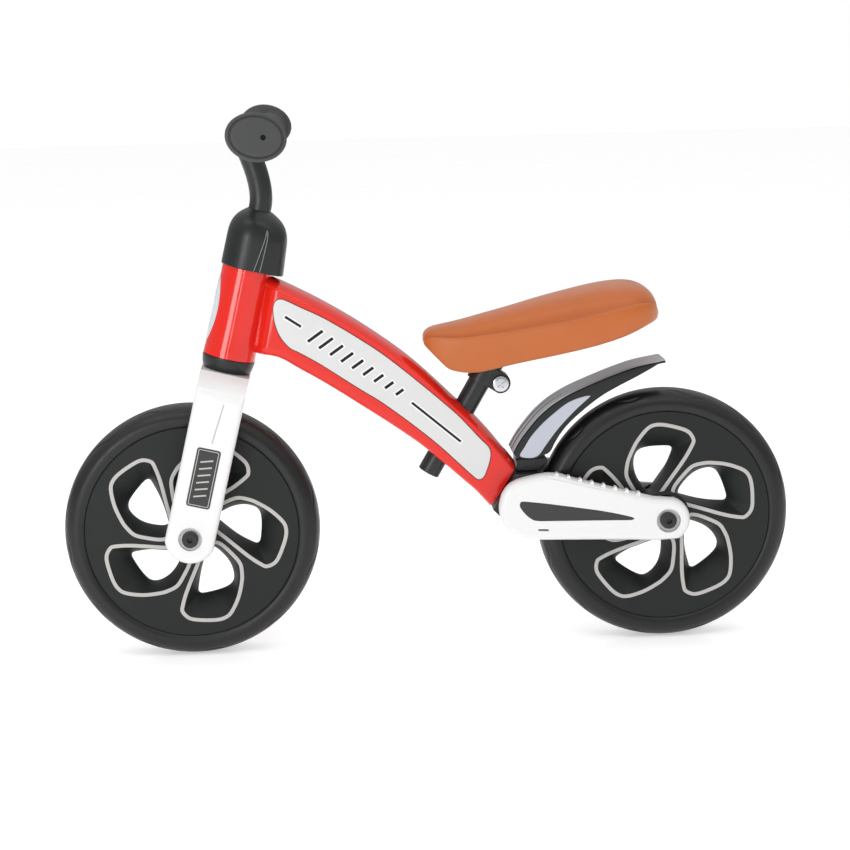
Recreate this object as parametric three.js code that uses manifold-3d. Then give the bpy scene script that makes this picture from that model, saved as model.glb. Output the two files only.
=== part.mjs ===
// A 10-inch balance bike: two foam-tyred wheels, a red beam frame, a white fork
// and rear stays, a sliding handlebar and a sliding saddle.
// Millimetres. The origin is on the ground midway between the wheels.
// +X points to the rear wheel, +Y to the rider's right, +Z up.
import * as THREE from 'three';
import { mergeVertices } from 'three/addons/utils/BufferGeometryUtils.js';
import Module from 'manifold-3d';

const wasm = await Module();
wasm.setup();

// ---- driving dimensions ----
const GAP = 0.3;                 // clearance between pieces that touch
const SMALL_FACETS = 16;         // facets round bores, bushes and bolts
const BODY_FACETS = 24;          // facets round the head tube, its ring and the stem cover
const WHEEL_FACETS = 40;
const WHEEL_RADIUS = 127;
const WHEELBASE = 473;
const FRONT_X = -WHEELBASE / 2;
const REAR_X = WHEELBASE / 2;
const AXLE_Z = WHEEL_RADIUS;
const STEER_LEAN = 14;           // degrees from vertical
const POST_LEAN = 30.4;          // degrees from vertical
const TUBE_RADIUS = 11.1;        // handlebar tube and seat post
const TUBE_WALL = 1.5;
const BAR_HALF_WIDTH = 183;

const RIM_RADIUS = 106.2;        // where the tyre meets the wheel disc
const FACE_Y = 20.2;             // half thickness of the wheel disc
const BORE_RADIUS = 4.3;         // holes that the axles pass through
const AXLE_RADIUS = 4;
const HUB_RADIUS = 14;
const BEARING_RADIUS = 11;
const BEARING_WIDTH = 7;
const HUB_HALF_WIDTH = 24;
const CAP_RADIUS = 7.5;          // axle bolt heads and cap nuts
const PETALS = 5;

const FORK_INNER_Y = 34;
const FORK_OUTER_Y = 50;
const FORK_HALF_DEPTH = 24;
const CROWN_LOW = 139;           // heights along the steering axis, from the axle
const CROWN_TOP = 164;
const HEAD_LOW = 178.1;
const HEAD_TOP = 267.3;
const STEERER_RADIUS = 12.7;
const STEERER_BORE = TUBE_RADIUS + GAP;
const STEERER_TOP = 304;
const HEAD_BORE = 15.5;
const COVER_TOP = 325.5;

const BEAM_HALF_WIDTH = 24;
const ARM_INNER_Y = 28.3;
const ARM_OUTER_Y = 32;
const STAY_OUTER_Y = 44;
const FENDER_HALF_WIDTH = 22;

const POST_FOOT = new THREE.Vector3(0.9, 0, 175.8);
const POST_LENGTH = 122;
const CLAMP_BOLT = { x: 17.8, height: 114.3 };   // in the post's own frame

// ---- materials ----
function finish(color, roughness, metalness = 0) {
  return new THREE.MeshStandardMaterial({ color, roughness, metalness });
}
const RED_PAINT = finish(0xd6261c, 0.25);
const WHITE_PLASTIC = finish(0xf4f4f2, 0.3);
const BLACK_PLASTIC = finish(0x2b2d2c, 0.4);
const DARK_INLAY = finish(0x4a4b4a, 0.5);
const SILVER_PLASTIC = finish(0xc4c5cb, 0.3, 0.3);
const FOAM = finish(0x1d1f1e, 0.6);
const WHEEL_PLASTIC = finish(0x323433, 0.5);
const GRIP_RUBBER = finish(0x505151, 0.7);
const BLACK_STEEL = finish(0x383a39, 0.35, 0.5);
const BRIGHT_STEEL = finish(0xd8d8d8, 0.25, 0.9);
const TAN_COVER = finish(0xba6c3e, 0.5);

// ---- geometry helpers ----
function outline(points) {
  return new THREE.Shape(points.map(([x, y]) => new THREE.Vector2(x, y)));
}

// An outline in X and Z, extruded along Y from low to high. The bevel stays
// inside the outline, and inset draws the whole outline in.
function plate(shape, low, high, bevel = 0, inset = 0) {
  const geometry = new THREE.ExtrudeGeometry(shape, {
    depth: high - low - 2 * bevel,
    bevelEnabled: bevel > 0,
    bevelThickness: bevel,
    bevelSize: bevel,
    bevelOffset: -bevel - inset,
    bevelSegments: bevel > 5 ? 2 : 1,
    curveSegments: 8,
  });
  geometry.rotateX(Math.PI / 2);
  geometry.translate(0, high - bevel, 0);
  return geometry;
}

// An outline in Y and Z, extruded along X.
function crossPlate(shape, low, high) {
  const geometry = new THREE.ExtrudeGeometry(shape, { depth: high - low, bevelEnabled: false });
  const turn = new THREE.Matrix4().makeBasis(
    new THREE.Vector3(0, 1, 0), new THREE.Vector3(0, 0, 1), new THREE.Vector3(1, 0, 0));
  geometry.applyMatrix4(turn);
  geometry.translate(low, 0, 0);
  return geometry;
}

// An anticlockwise (radius, height) profile turned about Y. A profile that
// doesn't start on the axis is closed on itself.
function turnedAboutY(profile, segments = SMALL_FACETS) {
  const points = profile.map(([r, h]) => new THREE.Vector2(r, h));
  if (profile[0][0] > 0) {
    points.push(points[0].clone());
  }
  return new THREE.LatheGeometry(points, segments);
}

function turnedAboutZ(profile, segments = SMALL_FACETS) {
  return turnedAboutY(profile, segments).rotateX(Math.PI / 2);
}

// A plain tube or ring about Z or Y.
function ringProfile(inner, outer, low, high) {
  return [[inner, low], [outer, low], [outer, high], [inner, high]];
}

function rod(radius, start, end, sides = 16) {
  const along = end.clone().sub(start);
  const geometry = new THREE.CylinderGeometry(radius, radius, along.length(), sides);
  const turn = new THREE.Quaternion().setFromUnitVectors(
    new THREE.Vector3(0, 1, 0), along.clone().normalize());
  geometry.applyQuaternion(turn);
  const middle = start.clone().add(end).multiplyScalar(0.5);
  geometry.translate(middle.x, middle.y, middle.z);
  return geometry;
}

function rodAlongY(radius, low, high, x, z, sides = 16) {
  return rod(radius, new THREE.Vector3(x, low, z), new THREE.Vector3(x, high, z), sides);
}

// A closed skin over rings of equal count, each anticlockwise about the
// direction in which the rings advance.
function loft(rings) {
  const count = rings[0].length;
  const corners = rings.flat().map((p) => new THREE.Vector3(...p));
  const faces = [];
  for (let i = 0; i + 1 < rings.length; i += 1) {
    for (let j = 0; j < count; j += 1) {
      const a = i * count + j;
      const b = i * count + (j + 1) % count;
      faces.push(a, b, b + count, a, b + count, a + count);
    }
  }
  const last = (rings.length - 1) * count;
  [0, last].forEach((first) => {
    const centre = new THREE.Vector3();
    corners.slice(first, first + count).forEach((p) => centre.add(p));
    const hub = corners.push(centre.divideScalar(count)) - 1;
    for (let j = 0; j < count; j += 1) {
      const a = first + j;
      const b = first + (j + 1) % count;
      faces.push(...(first === 0 ? [hub, b, a] : [hub, a, b]));
    }
  });
  const geometry = new THREE.BufferGeometry().setFromPoints(corners);
  geometry.setIndex(faces);
  geometry.computeVertexNormals();
  return geometry;
}

function toSolid(geometry) {
  const bare = geometry.clone();
  bare.deleteAttribute('normal');
  bare.deleteAttribute('uv');
  const merged = mergeVertices(bare, 1e-4);
  return new wasm.Manifold(new wasm.Mesh({
    numProp: 3,
    vertProperties: new Float32Array(merged.attributes.position.array),
    triVerts: new Uint32Array(merged.index.array),
  }));
}

function toGeometry(solid) {
  const { vertProperties, triVerts } = solid.getMesh();
  const geometry = new THREE.BufferGeometry();
  geometry.setAttribute('position', new THREE.BufferAttribute(vertProperties, 3));
  geometry.setIndex(new THREE.BufferAttribute(triVerts, 1));
  geometry.computeVertexNormals();
  return geometry;
}

function join(...geometries) {
  const solids = geometries.map(toSolid);
  return toGeometry(solids.reduce((sum, solid) => sum.add(solid)));
}

function cut(geometry, ...cutters) {
  return toGeometry(cutters.map(toSolid).reduce((rest, tool) => rest.subtract(tool),
    toSolid(geometry)));
}

function common(first, second) {
  return toGeometry(toSolid(first).intersect(toSolid(second)));
}

function piece(name, geometry, material) {
  const mesh = new THREE.Mesh(geometry, material);
  mesh.name = name;
  return mesh;
}

// Polygon points for a closed outline of corners, each rounded by a curve that
// starts and ends the given distance from the corner.
function roundedCorners(corners, steps = 2) {
  const points = [];
  corners.forEach(([x, y, reach], i) => {
    const here = new THREE.Vector2(x, y);
    const before = new THREE.Vector2(...corners.at(i - 1));
    const after = new THREE.Vector2(...corners[(i + 1) % corners.length]);
    const start = here.clone().add(before.sub(here).setLength(reach));
    const end = here.clone().add(after.sub(here).setLength(reach));
    const bend = new THREE.QuadraticBezierCurve(start, here, end);
    points.push(...bend.getPoints(steps).map((p) => [p.x, p.y]));
  });
  return points;
}

// Points on an arc, angles in degrees from +X.
function arc(cx, cz, radius, from, to, steps) {
  return Array.from({ length: steps + 1 }, (_, i) => {
    const angle = THREE.MathUtils.degToRad(from + (to - from) * i / steps);
    return [cx + radius * Math.cos(angle), cz + radius * Math.sin(angle)];
  });
}

// ---- groups that carry the leaning parts ----
function leaningGroup(foot, degrees) {
  const group = new THREE.Group();
  group.position.copy(foot);
  group.rotation.y = THREE.MathUtils.degToRad(degrees);
  group.updateMatrixWorld(true);
  return group;
}
const FRONT_AXLE = new THREE.Vector3(FRONT_X, 0, AXLE_Z);
const steering = leaningGroup(FRONT_AXLE, STEER_LEAN);
const post = leaningGroup(POST_FOOT, POST_LEAN);

function moved(geometry, group) {
  return geometry.clone().applyMatrix4(group.matrixWorld);
}

// ---- wheels ----
// Each petal opening has four rounded corners [x, z, reach], relative to the
// hub, wide at the wheel's faces and narrower halfway through.
const PETAL_FACE = [[-0.5, 17.4, 18], [88.5, -5.5, 12], [86.5, 46.5, 14], [28.6, 56.5, 18]];
const PETAL_WAIST = [[9.1, 23.4, 12], [68, 8.3, 8], [58, 43.5, 10], [26.5, 46.5, 12]];

function petalCutter(angle) {
  const c = Math.cos(angle);
  const s = Math.sin(angle);
  const ring = (corners, y) => roundedCorners(corners)
    .map(([x, z]) => [x * c - z * s, y, x * s + z * c]);
  const reach = FACE_Y + 0.5;
  return loft([ring(PETAL_FACE, reach), ring(PETAL_WAIST, 0), ring(PETAL_FACE, -reach)]);
}

function wheelDisc(phase) {
  const boss = HUB_HALF_WIDTH - 1;
  const bore = HUB_RADIUS + GAP;
  const rim = RIM_RADIUS - GAP;
  const disc = turnedAboutY([
    [bore, -boss], [22, -boss], [25, -FACE_Y], [rim, -FACE_Y],
    [rim, FACE_Y], [25, FACE_Y], [22, boss], [bore, boss],
  ], WHEEL_FACETS);
  const cutters = Array.from({ length: PETALS }, (_, i) => {
    const degrees = phase + i * 360 / PETALS;
    return petalCutter(THREE.MathUtils.degToRad(degrees));
  });
  return cut(disc, ...cutters);
}

function tyre() {
  const side = [[RIM_RADIUS, 19.8], [110, 22], [117, 21], [122.5, 17], [126, 10.5], [127, 4]];
  const low = side.map(([r, y]) => [r, -y]);
  return turnedAboutY([...low, ...side.toReversed()], WHEEL_FACETS);
}

function hubSleeve() {
  const seat = BEARING_RADIUS + GAP;
  const shoulder = HUB_HALF_WIDTH - BEARING_WIDTH - GAP;
  return turnedAboutY([
    [seat, -HUB_HALF_WIDTH], [HUB_RADIUS, -HUB_HALF_WIDTH],
    [HUB_RADIUS, HUB_HALF_WIDTH], [seat, HUB_HALF_WIDTH],
    [seat, shoulder], [9, shoulder], [9, -shoulder], [seat, -shoulder],
  ]);
}

function wheel(end, x, phase) {
  const group = new THREE.Group();
  group.position.set(x, 0, AXLE_Z);
  group.add(piece(`${end}_tyre`, tyre(), FOAM));
  group.add(piece(`${end}_wheel_disc`, wheelDisc(phase), WHEEL_PLASTIC));
  group.add(piece(`${end}_hub_sleeve`, hubSleeve(), BRIGHT_STEEL));
  const inner = HUB_HALF_WIDTH - BEARING_WIDTH;
  const race = turnedAboutY(ringProfile(BORE_RADIUS, BEARING_RADIUS, inner, HUB_HALF_WIDTH));
  group.add(piece(`${end}_bearing_right`, race, BRIGHT_STEEL));
  const otherRace = turnedAboutY(ringProfile(BORE_RADIUS, BEARING_RADIUS, -HUB_HALF_WIDTH, -inner));
  group.add(piece(`${end}_bearing_left`, otherRace, BRIGHT_STEEL));
  return group;
}

// The fixed hardware through a wheel: a capped bolt from the left, a cap nut on
// the right and a spacer at each side of the hub.
function axleHardware(end, x, seatY, headY, spacerEnd) {
  const group = new THREE.Group();
  group.position.set(x, 0, AXLE_Z);
  const socket = new THREE.CylinderGeometry(2.9, 2.9, 6, 6).translate(0, -headY, 0);
  const bolt = turnedAboutY([
    [0, -headY], [CAP_RADIUS - 2, -headY], [CAP_RADIUS, -headY + 2], [CAP_RADIUS, -seatY - GAP],
    [AXLE_RADIUS, -seatY - GAP], [AXLE_RADIUS, headY - 3], [0, headY - 3],
  ]);
  group.add(piece(`${end}_axle_bolt`, cut(bolt, socket), BLACK_STEEL));
  const nutHollow = new THREE.CylinderGeometry(BORE_RADIUS, BORE_RADIUS, 2 * (headY - 2.5), 16);
  const nutBlank = turnedAboutY([
    [0, seatY + GAP], [CAP_RADIUS, seatY + GAP], [CAP_RADIUS, headY - 2],
    [CAP_RADIUS - 2, headY], [0, headY],
  ]);
  group.add(piece(`${end}_axle_nut`, cut(nutBlank, nutHollow), BLACK_STEEL));
  const near = HUB_HALF_WIDTH + GAP;
  const far = spacerEnd - GAP;
  const right = turnedAboutY(ringProfile(BORE_RADIUS, 7, near, far), 16);
  group.add(piece(`${end}_spacer_right`, right, BRIGHT_STEEL));
  const left = turnedAboutY(ringProfile(BORE_RADIUS, 7, -far, -near), 16);
  group.add(piece(`${end}_spacer_left`, left, BRIGHT_STEEL));
  return group;
}

// ---- main frame ----
// (radius, height along the steering axis) of the waisted head tube.
const HEAD_PROFILE = [
  [26, HEAD_LOW], [24.5, 190], [21.5, 205], [20.2, 225], [21.5, 240], [23.7, 252], [24.7, HEAD_TOP],
];
const BEAM_BOTTOM = [
  [-185, 306], [-160, 301], [-143.3, 298.2], [-104.6, 274.9], [-65.6, 248.9],
  [-26.5, 221.7], [12.9, 189.7], [47.5, 157.7],
];
const BEAM_END = [[60.4, 142.8], [69, 154.8], [77.5, 166], [84.5, 178], [87.4, 185.1]];
const BEAM_TOP = [
  [73.6, 203], [49, 232.4], [14.6, 265.9], [-24.4, 301.4], [-63.2, 329.6],
  [-101.9, 353.6], [-143.4, 374.7], [-165, 377], [-185, 370],
];
const TONGUE = { x: 75, z: 160, width: 28, height: 16, length: 28 };
const BEAM_END_ANGLE = 43;       // degrees below horizontal, of the beam's tail
const LOCK_SCREW_HEIGHT = 48;    // along the post, from its foot

function tongueBox(extra) {
  const box = new THREE.BoxGeometry(
    TONGUE.length + extra, TONGUE.width + 2 * extra, TONGUE.height + 2 * extra);
  box.translate(-(TONGUE.length + extra) / 2, 0, 0);
  box.rotateY(THREE.MathUtils.degToRad(BEAM_END_ANGLE));
  return box.translate(TONGUE.x, 0, TONGUE.z);
}

// A point measured from the tongue: back along the beam and down across it.
function atTail(back, down) {
  const angle = THREE.MathUtils.degToRad(BEAM_END_ANGLE);
  return new THREE.Vector3(
    TONGUE.x - back * Math.cos(angle) - down * Math.sin(angle), 0,
    TONGUE.z + back * Math.sin(angle) - down * Math.cos(angle));
}

function mainFrame() {
  const beam = plate(outline([...BEAM_BOTTOM, ...BEAM_END, ...BEAM_TOP]),
    -BEAM_HALF_WIDTH, BEAM_HALF_WIDTH, 10);
  const headTube = moved(
    turnedAboutZ([[0, HEAD_LOW], ...HEAD_PROFILE, [0, HEAD_TOP]], BODY_FACETS), steering);
  const clearAbove = moved(new THREE.BoxGeometry(160, 80, 60)
    .translate(0, 0, HEAD_TOP + 30), steering);
  const headBore = moved(turnedAboutZ([[0, 100], [HEAD_BORE, 100], [HEAD_BORE, 300], [0, 300]]), steering);
  const seatBore = moved(turnedAboutZ([[0, -20], [13.3, -20], [13.3, 120], [0, 120]]), post);
  const screwAt = new THREE.Vector3(0, 0, LOCK_SCREW_HEIGHT).applyMatrix4(post.matrixWorld);
  const lockHole = rodAlongY(3 + GAP, 0, 40, screwAt.x, screwAt.z, 12);
  const yokeHole = rod(3 + GAP, atTail(14, 4), atTail(14, 40), 12);
  const yokeCounterbore = rod(5.5, atTail(14, 15), atTail(14, 40), 16);
  return cut(join(beam, headTube), clearAbove, headBore, seatBore, lockHole,
    tongueBox(GAP), yokeHole, yokeCounterbore);
}

function headBadge() {
  const skin = (extra) => turnedAboutZ([
    [0, HEAD_LOW + 4], ...HEAD_PROFILE.slice(1, -1).map(([r, h]) => [r + extra, h]), [0, HEAD_TOP - 4],
  ], BODY_FACETS);
  const oval = new THREE.Shape();
  oval.absellipse(0, 222, 13, 30, 0, 2 * Math.PI);
  const window = crossPlate(oval, -60, -6);
  return common(cut(skin(1.4), skin(GAP)), window);
}

function headsetBush(isUpper) {
  const flange = isUpper ? HEAD_TOP + GAP : HEAD_LOW - GAP;
  const away = isUpper ? 1 : -1;
  const heights = [[13, -20], [15.2, -20], [15.2, 0], [21, 0], [21, 2], [13, 2]];
  const profile = heights.map(([r, h]) => [r, flange + away * h]);
  return turnedAboutZ(isUpper ? profile : profile.toReversed());
}

function seatBush() {
  const sleeve = turnedAboutZ(ringProfile(TUBE_RADIUS + GAP, 13, 26, 70));
  const hole = rodAlongY(3 + GAP, 0, 40, 0, LOCK_SCREW_HEIGHT, 12);
  return cut(sleeve, hole);
}

// ---- rear yoke, stay covers and fender ----
const BRIDGE = [
  [62.9, 141.6], [71.3, 133], [96, 126], [104, 140], [107, 158], [109, 177],
  [86, 177], [79.2, 166], [70.6, 154.8],
];
const ARM = [
  [72, 136], [100, 128], ...arc(REAR_X, AXLE_Z, 12, -95, 80, 8), [120, 160], [104, 170], [84, 170],
  [74, 158],
];
const FENDER_SCREWS = { x: 100, y: 10, head: 4.5, shank: 2.5, low: 162 };
const BRACKET = { left: 88.4, right: 112, low: 177.4, high: 186, halfWidth: 20 };
const WEB_TOP = 189.6;

function fenderScrewHole(side) {
  const { x, y, shank, low } = FENDER_SCREWS;
  return rod(shank + GAP, new THREE.Vector3(x, side * y, low - 1),
    new THREE.Vector3(x, side * y, 200), 12);
}

function rearYoke() {
  const arms = [-1, 1].map((side) => {
    const low = side < 0 ? -ARM_OUTER_Y : ARM_INNER_Y;
    return plate(outline(ARM), low, low + ARM_OUTER_Y - ARM_INNER_Y);
  });
  const bridge = plate(outline(BRIDGE), -ARM_OUTER_Y, ARM_OUTER_Y);
  const screwHole = rod(3 + GAP, atTail(14, -5), atTail(14, 20), 12);
  const axleHole = rodAlongY(BORE_RADIUS, -60, 60, REAR_X, AXLE_Z);
  const tongue = tongueBox(0);
  const root = new THREE.BoxGeometry(10, TONGUE.width, TONGUE.height)
    .rotateY(THREE.MathUtils.degToRad(BEAM_END_ANGLE)).translate(TONGUE.x + 3, 0, TONGUE.z - 3);
  return cut(join(...arms, bridge, tongue, root), screwHole, axleHole,
    fenderScrewHole(-1), fenderScrewHole(1));
}

function yokeScrew() {
  return join(rod(3, atTail(14, -3), atTail(14, 17), 12), rod(5, atTail(14, 15.5), atTail(14, 19.5), 16));
}

const STAY_OUTLINE = [
  [67.8, 150], [68, 142], [70.2, 133], [75.1, 124.7], [82.9, 118.3], [92.8, 114.4], [107.7, 112.3],
  [167.5, 110], [226, 108], ...arc(REAR_X, AXLE_Z, 21.9, -70, 86, 10), [143.2, 174],
  [134, 178], [126.4, 180], [113.5, 180.2], [98.7, 177.4], [85.8, 174.9], [75.8, 170.2], [70, 162],
];
const INLAY_OUTLINE = [
  [88.4, 146.5], [92, 140.8], [97.8, 135], [104.7, 131.7], [167.4, 129.9], [199.3, 129.2],
  [202.3, 130.3], [167.5, 140], [117.9, 148.4], [98.1, 151.2], [91.1, 151.9], [88.6, 150.6],
];
const RIBS = { count: 8, first: 126, pitch: 11.6 };

// Anti-slip ribs lie across the top edge, where the rider's feet rest.
function stayRibs(low, high) {
  return Array.from({ length: RIBS.count }, (_, i) => {
    const x = RIBS.first + RIBS.pitch * i;
    const z = 177.6 - (x - 132) * 0.275;
    return plate(outline([[x - 2.4, z - 4], [x + 2.4, z - 5.4], [x + 1.4, z + 0.6], [x - 1.2, z + 1.6]]),
      low, high);
  });
}

function stayCover(side) {
  const span = (inner, outer) => (side > 0 ? [inner, outer] : [-outer, -inner]);
  const body = plate(outline(STAY_OUTLINE), ...span(ARM_OUTER_Y + GAP, STAY_OUTER_Y), 2);
  const ribs = stayRibs(...span(ARM_OUTER_Y + 2, STAY_OUTER_Y - 3));
  const pocket = plate(outline(INLAY_OUTLINE), ...span(STAY_OUTER_Y - 1.8, STAY_OUTER_Y + 5));
  const counterbore = rodAlongY(12, ...span(38.4, 60), REAR_X, AXLE_Z, 24);
  const axleHole = rodAlongY(BORE_RADIUS, -60, 60, REAR_X, AXLE_Z);
  const slot = plate(outline([[106.6, 121.4], [116.5, 121], [116.5, 122.8], [106.6, 123.2]]),
    ...span(STAY_OUTER_Y - 3, STAY_OUTER_Y + 5));
  return cut(join(body, ...ribs), pocket, counterbore, axleHole, slot);
}

function stayInlay(side) {
  const outer = STAY_OUTER_Y;
  const inner = outer - 1.5;
  const span = side > 0 ? [inner, outer] : [-outer, -inner];
  return plate(outline(INLAY_OUTLINE), ...span, 0.3, GAP);
}

// The fender's top edge, drawn in towards the wheel by the given depth.
const FENDER_TOP = [
  [83.4, 197.7], [89.2, 208.2], [96.7, 218.5], [108.4, 232.2], [121.9, 243.9], [147, 258.1],
  [171.9, 268.3], [191.9, 275.6], [211.8, 281.5], [240, 286.5],
];
function fenderTop(depth) {
  return FENDER_TOP.map(([x, z]) => {
    const spoke = new THREE.Vector2(x - REAR_X, z - AXLE_Z);
    spoke.setLength(spoke.length() - depth);
    return [REAR_X + spoke.x, AXLE_Z + spoke.y];
  });
}
const FENDER_PANEL = [
  [89.5, 192.5], [95.4, 203.4], [106.6, 217.2], [121.7, 228.8], [136.8, 238.3], [158, 247.5],
  [146.7, 238], [136.7, 228.3], [126.6, 217.5], [116.4, 205.7], [111.5, 195.5], [106, 191.6],
];

function fenderShell() {
  const lowerEdge = [...arc(REAR_X, AXLE_Z, 138.4, 154.5, 122, 6), [171.8, 251.7], [191.8, 262.6],
    [221.8, 276.6], [240, 283.2]];
  const blank = plate(outline([[86.8, 190.5], [90, BRACKET.high + GAP], ...lowerEdge,
    ...fenderTop(1.8).toReversed()]), -FENDER_HALF_WIDTH, FENDER_HALF_WIDTH);
  const inside = outline([[93, WEB_TOP], [120, WEB_TOP], ...arc(REAR_X, AXLE_Z, 130, 150, 86, 8),
    ...fenderTop(4.2).toReversed()]);
  const hollow = plate(inside, -FENDER_HALF_WIDTH + 2.4, FENDER_HALF_WIDTH - 2.4);
  const pockets = [-1, 1].map((side) => {
    const low = side < 0 ? -30 : FENDER_HALF_WIDTH - 1.2;
    return plate(outline(FENDER_PANEL), low, low + 30 - FENDER_HALF_WIDTH + 1.2);
  });
  return cut(blank, hollow, ...pockets, fenderScrewHole(-1), fenderScrewHole(1));
}

function fenderCrown() {
  return plate(outline([...fenderTop(1.5), ...fenderTop(0).toReversed()]),
    -FENDER_HALF_WIDTH + GAP, FENDER_HALF_WIDTH - GAP);
}

function fenderPanel(side) {
  const low = side < 0 ? -FENDER_HALF_WIDTH : FENDER_HALF_WIDTH - 0.9;
  return plate(outline(FENDER_PANEL), low, low + 0.9, 0.2, GAP);
}

function fenderBracket() {
  const { left, right, low, high, halfWidth } = BRACKET;
  const block = plate(outline([[left, low], [right, low], [right, high], [left, high]]),
    -halfWidth, halfWidth);
  return cut(block, fenderScrewHole(-1), fenderScrewHole(1));
}

function fenderScrew(side) {
  const { x, y, head, shank, low } = FENDER_SCREWS;
  const at = (z) => new THREE.Vector3(x, side * y, z);
  return join(rod(shank, at(low), at(WEB_TOP + 1), 12), rod(head, at(WEB_TOP + GAP), at(WEB_TOP + 3.3), 12));
}

// ---- fork and stem, in the steering axis's own frame ----
function fork() {
  const leg = outline([...arc(0, 0, 25, 195, 345, 12), [FORK_HALF_DEPTH, 8], [FORK_HALF_DEPTH, 152],
    [-FORK_HALF_DEPTH, 152], [-FORK_HALF_DEPTH, 8]]);
  const legs = [-1, 1].map((side) => {
    const low = side < 0 ? -FORK_OUTER_Y : FORK_INNER_Y;
    return plate(leg, low, low + FORK_OUTER_Y - FORK_INNER_Y, 3);
  });
  const half = FORK_OUTER_Y - 0.4;
  const side = (sign) => (sign < 0 ? [-60, -46] : [46, 60]);
  const crown = crossPlate(outline([[-half, CROWN_LOW], [half, CROWN_LOW], [half, 149],
    [half - 7, 157], [30, CROWN_TOP], [-30, CROWN_TOP], [-half + 7, 157], [-half, 149]]),
  -FORK_HALF_DEPTH + 1, FORK_HALF_DEPTH - 1);
  const steererBore = turnedAboutZ([[0, 100], [STEERER_RADIUS + GAP, 100],
    [STEERER_RADIUS + GAP, 200], [0, 200]]);
  const counterbores = [-1, 1].map((sign) => rodAlongY(12, ...side(sign), 0, 0, 24));
  const axleHole = rodAlongY(BORE_RADIUS, -60, 60, 0, 0);
  return cut(join(...legs, crown), steererBore, axleHole, ...counterbores);
}

function crownRing() {
  return turnedAboutZ([
    [13.2, CROWN_TOP + GAP], [22.5, CROWN_TOP + GAP], [24.8, CROWN_TOP + 4], [26, HEAD_LOW - 1],
    [25.5, HEAD_LOW - GAP], [21.5, HEAD_LOW - GAP], [21.5, HEAD_LOW - 2.8], [13.2, HEAD_LOW - 2.8],
  ], BODY_FACETS);
}

function barClamp() {
  const collar = turnedAboutZ([[0, 278], [17.2, 278], [17.2, 300], [0, 300]]);
  const ears = new THREE.BoxGeometry(16, 18, 20).translate(22, 0, 289);
  const bore = turnedAboutZ([[0, 270], [STEERER_RADIUS + GAP, 270], [STEERER_RADIUS + GAP, 310], [0, 310]]);
  const slit = new THREE.BoxGeometry(30, 2.4, 40).translate(26, 0, 289);
  return cut(join(collar, ears), bore, slit, rodAlongY(3 + GAP, -20, 20, 24, 289, 12));
}

function barClampBolt() {
  return join(rodAlongY(3, -13, 14.5, 24, 289, 12), rodAlongY(5.5, -14, -9.3, 24, 289, 16));
}

function barClampNut() {
  return cut(rodAlongY(5.8, 9.3, 14, 24, 289, 6), rodAlongY(3 + GAP, 5, 20, 24, 289, 12));
}

function stemCoverBody(inset, low) {
  const r = 26.3 - inset;
  const top = COVER_TOP - inset;
  const front = turnedAboutZ([
    [0, low], [r, low], [r, 303], [r - 2, 311], [r - 6.5, top - 6], [r - 13, top - 1], [0, top],
  ], BODY_FACETS);
  const box = plate(outline([[0, low], [35.6 - inset, low], [32.8 - inset, 301],
    [28.4 - inset, top - 12.5], [19 - inset, top - 4], [9 - inset, top - 0.4], [0, top - 0.4]]),
  -19 + inset, 19 - inset, inset > 0 ? 0 : 3);
  return join(front, box);
}

function stemCover() {
  const riserHole = turnedAboutZ([[0, 300], [11.5, 300], [11.5, 340], [0, 340]]);
  return cut(stemCoverBody(0, HEAD_TOP + GAP), stemCoverBody(2.2, 250), riserHole);
}

// ---- handlebar ----
const BAR_CENTRE = { t: -27, s: 385 };   // in the steering frame
const BAR_STRAIGHT_Y = 42;               // where the swept-back ends begin
const GRIP_END = new THREE.Vector3(-146.7, BAR_HALF_WIDTH, 518.8);

function sweep(curve, radius, steps) {
  const section = new THREE.Shape();
  section.absarc(0, 0, radius, 0, 2 * Math.PI);
  return new THREE.ExtrudeGeometry(section, {
    steps, extrudePath: curve, bevelEnabled: false, curveSegments: 6,
  });
}

function riserCurve(foot) {
  const at = (t, s) => new THREE.Vector3(t, 0, s).applyMatrix4(steering.matrixWorld);
  const path = new THREE.CurvePath();
  path.add(new THREE.LineCurve3(at(0, foot), at(0, 328)));
  path.add(new THREE.QuadraticBezierCurve3(at(0, 328), at(0, 350), at(BAR_CENTRE.t, BAR_CENTRE.s)));
  return path;
}

function barCurve(halfWidth) {
  const centre = new THREE.Vector3(BAR_CENTRE.t, 0, BAR_CENTRE.s).applyMatrix4(steering.matrixWorld);
  const end = (side) => GRIP_END.clone().multiply(new THREE.Vector3(1, side, 1));
  const bend = (side) => centre.clone().setY(side * BAR_STRAIGHT_Y);
  const tip = (side) => {
    const reach = (halfWidth - BAR_STRAIGHT_Y) / (BAR_HALF_WIDTH - BAR_STRAIGHT_Y);
    return bend(side).lerp(end(side), reach);
  };
  const path = new THREE.CurvePath();
  const soften = (side) => bend(side).lerp(end(side), 0.16);
  const inner = (side) => centre.clone().setY(side * 20);
  path.add(new THREE.LineCurve3(tip(-1), soften(-1)));
  path.add(new THREE.QuadraticBezierCurve3(soften(-1), bend(-1), inner(-1)));
  path.add(new THREE.LineCurve3(inner(-1), inner(1)));
  path.add(new THREE.QuadraticBezierCurve3(inner(1), bend(1), soften(1)));
  path.add(new THREE.LineCurve3(soften(1), tip(1)));
  return path;
}

function handlebar() {
  const bore = TUBE_RADIUS - TUBE_WALL;
  const outside = join(sweep(riserCurve(205), TUBE_RADIUS, 14), sweep(barCurve(178), TUBE_RADIUS, 20));
  return cut(outside, sweep(riserCurve(200), bore, 14), sweep(barCurve(185), bore, 20));
}

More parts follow.
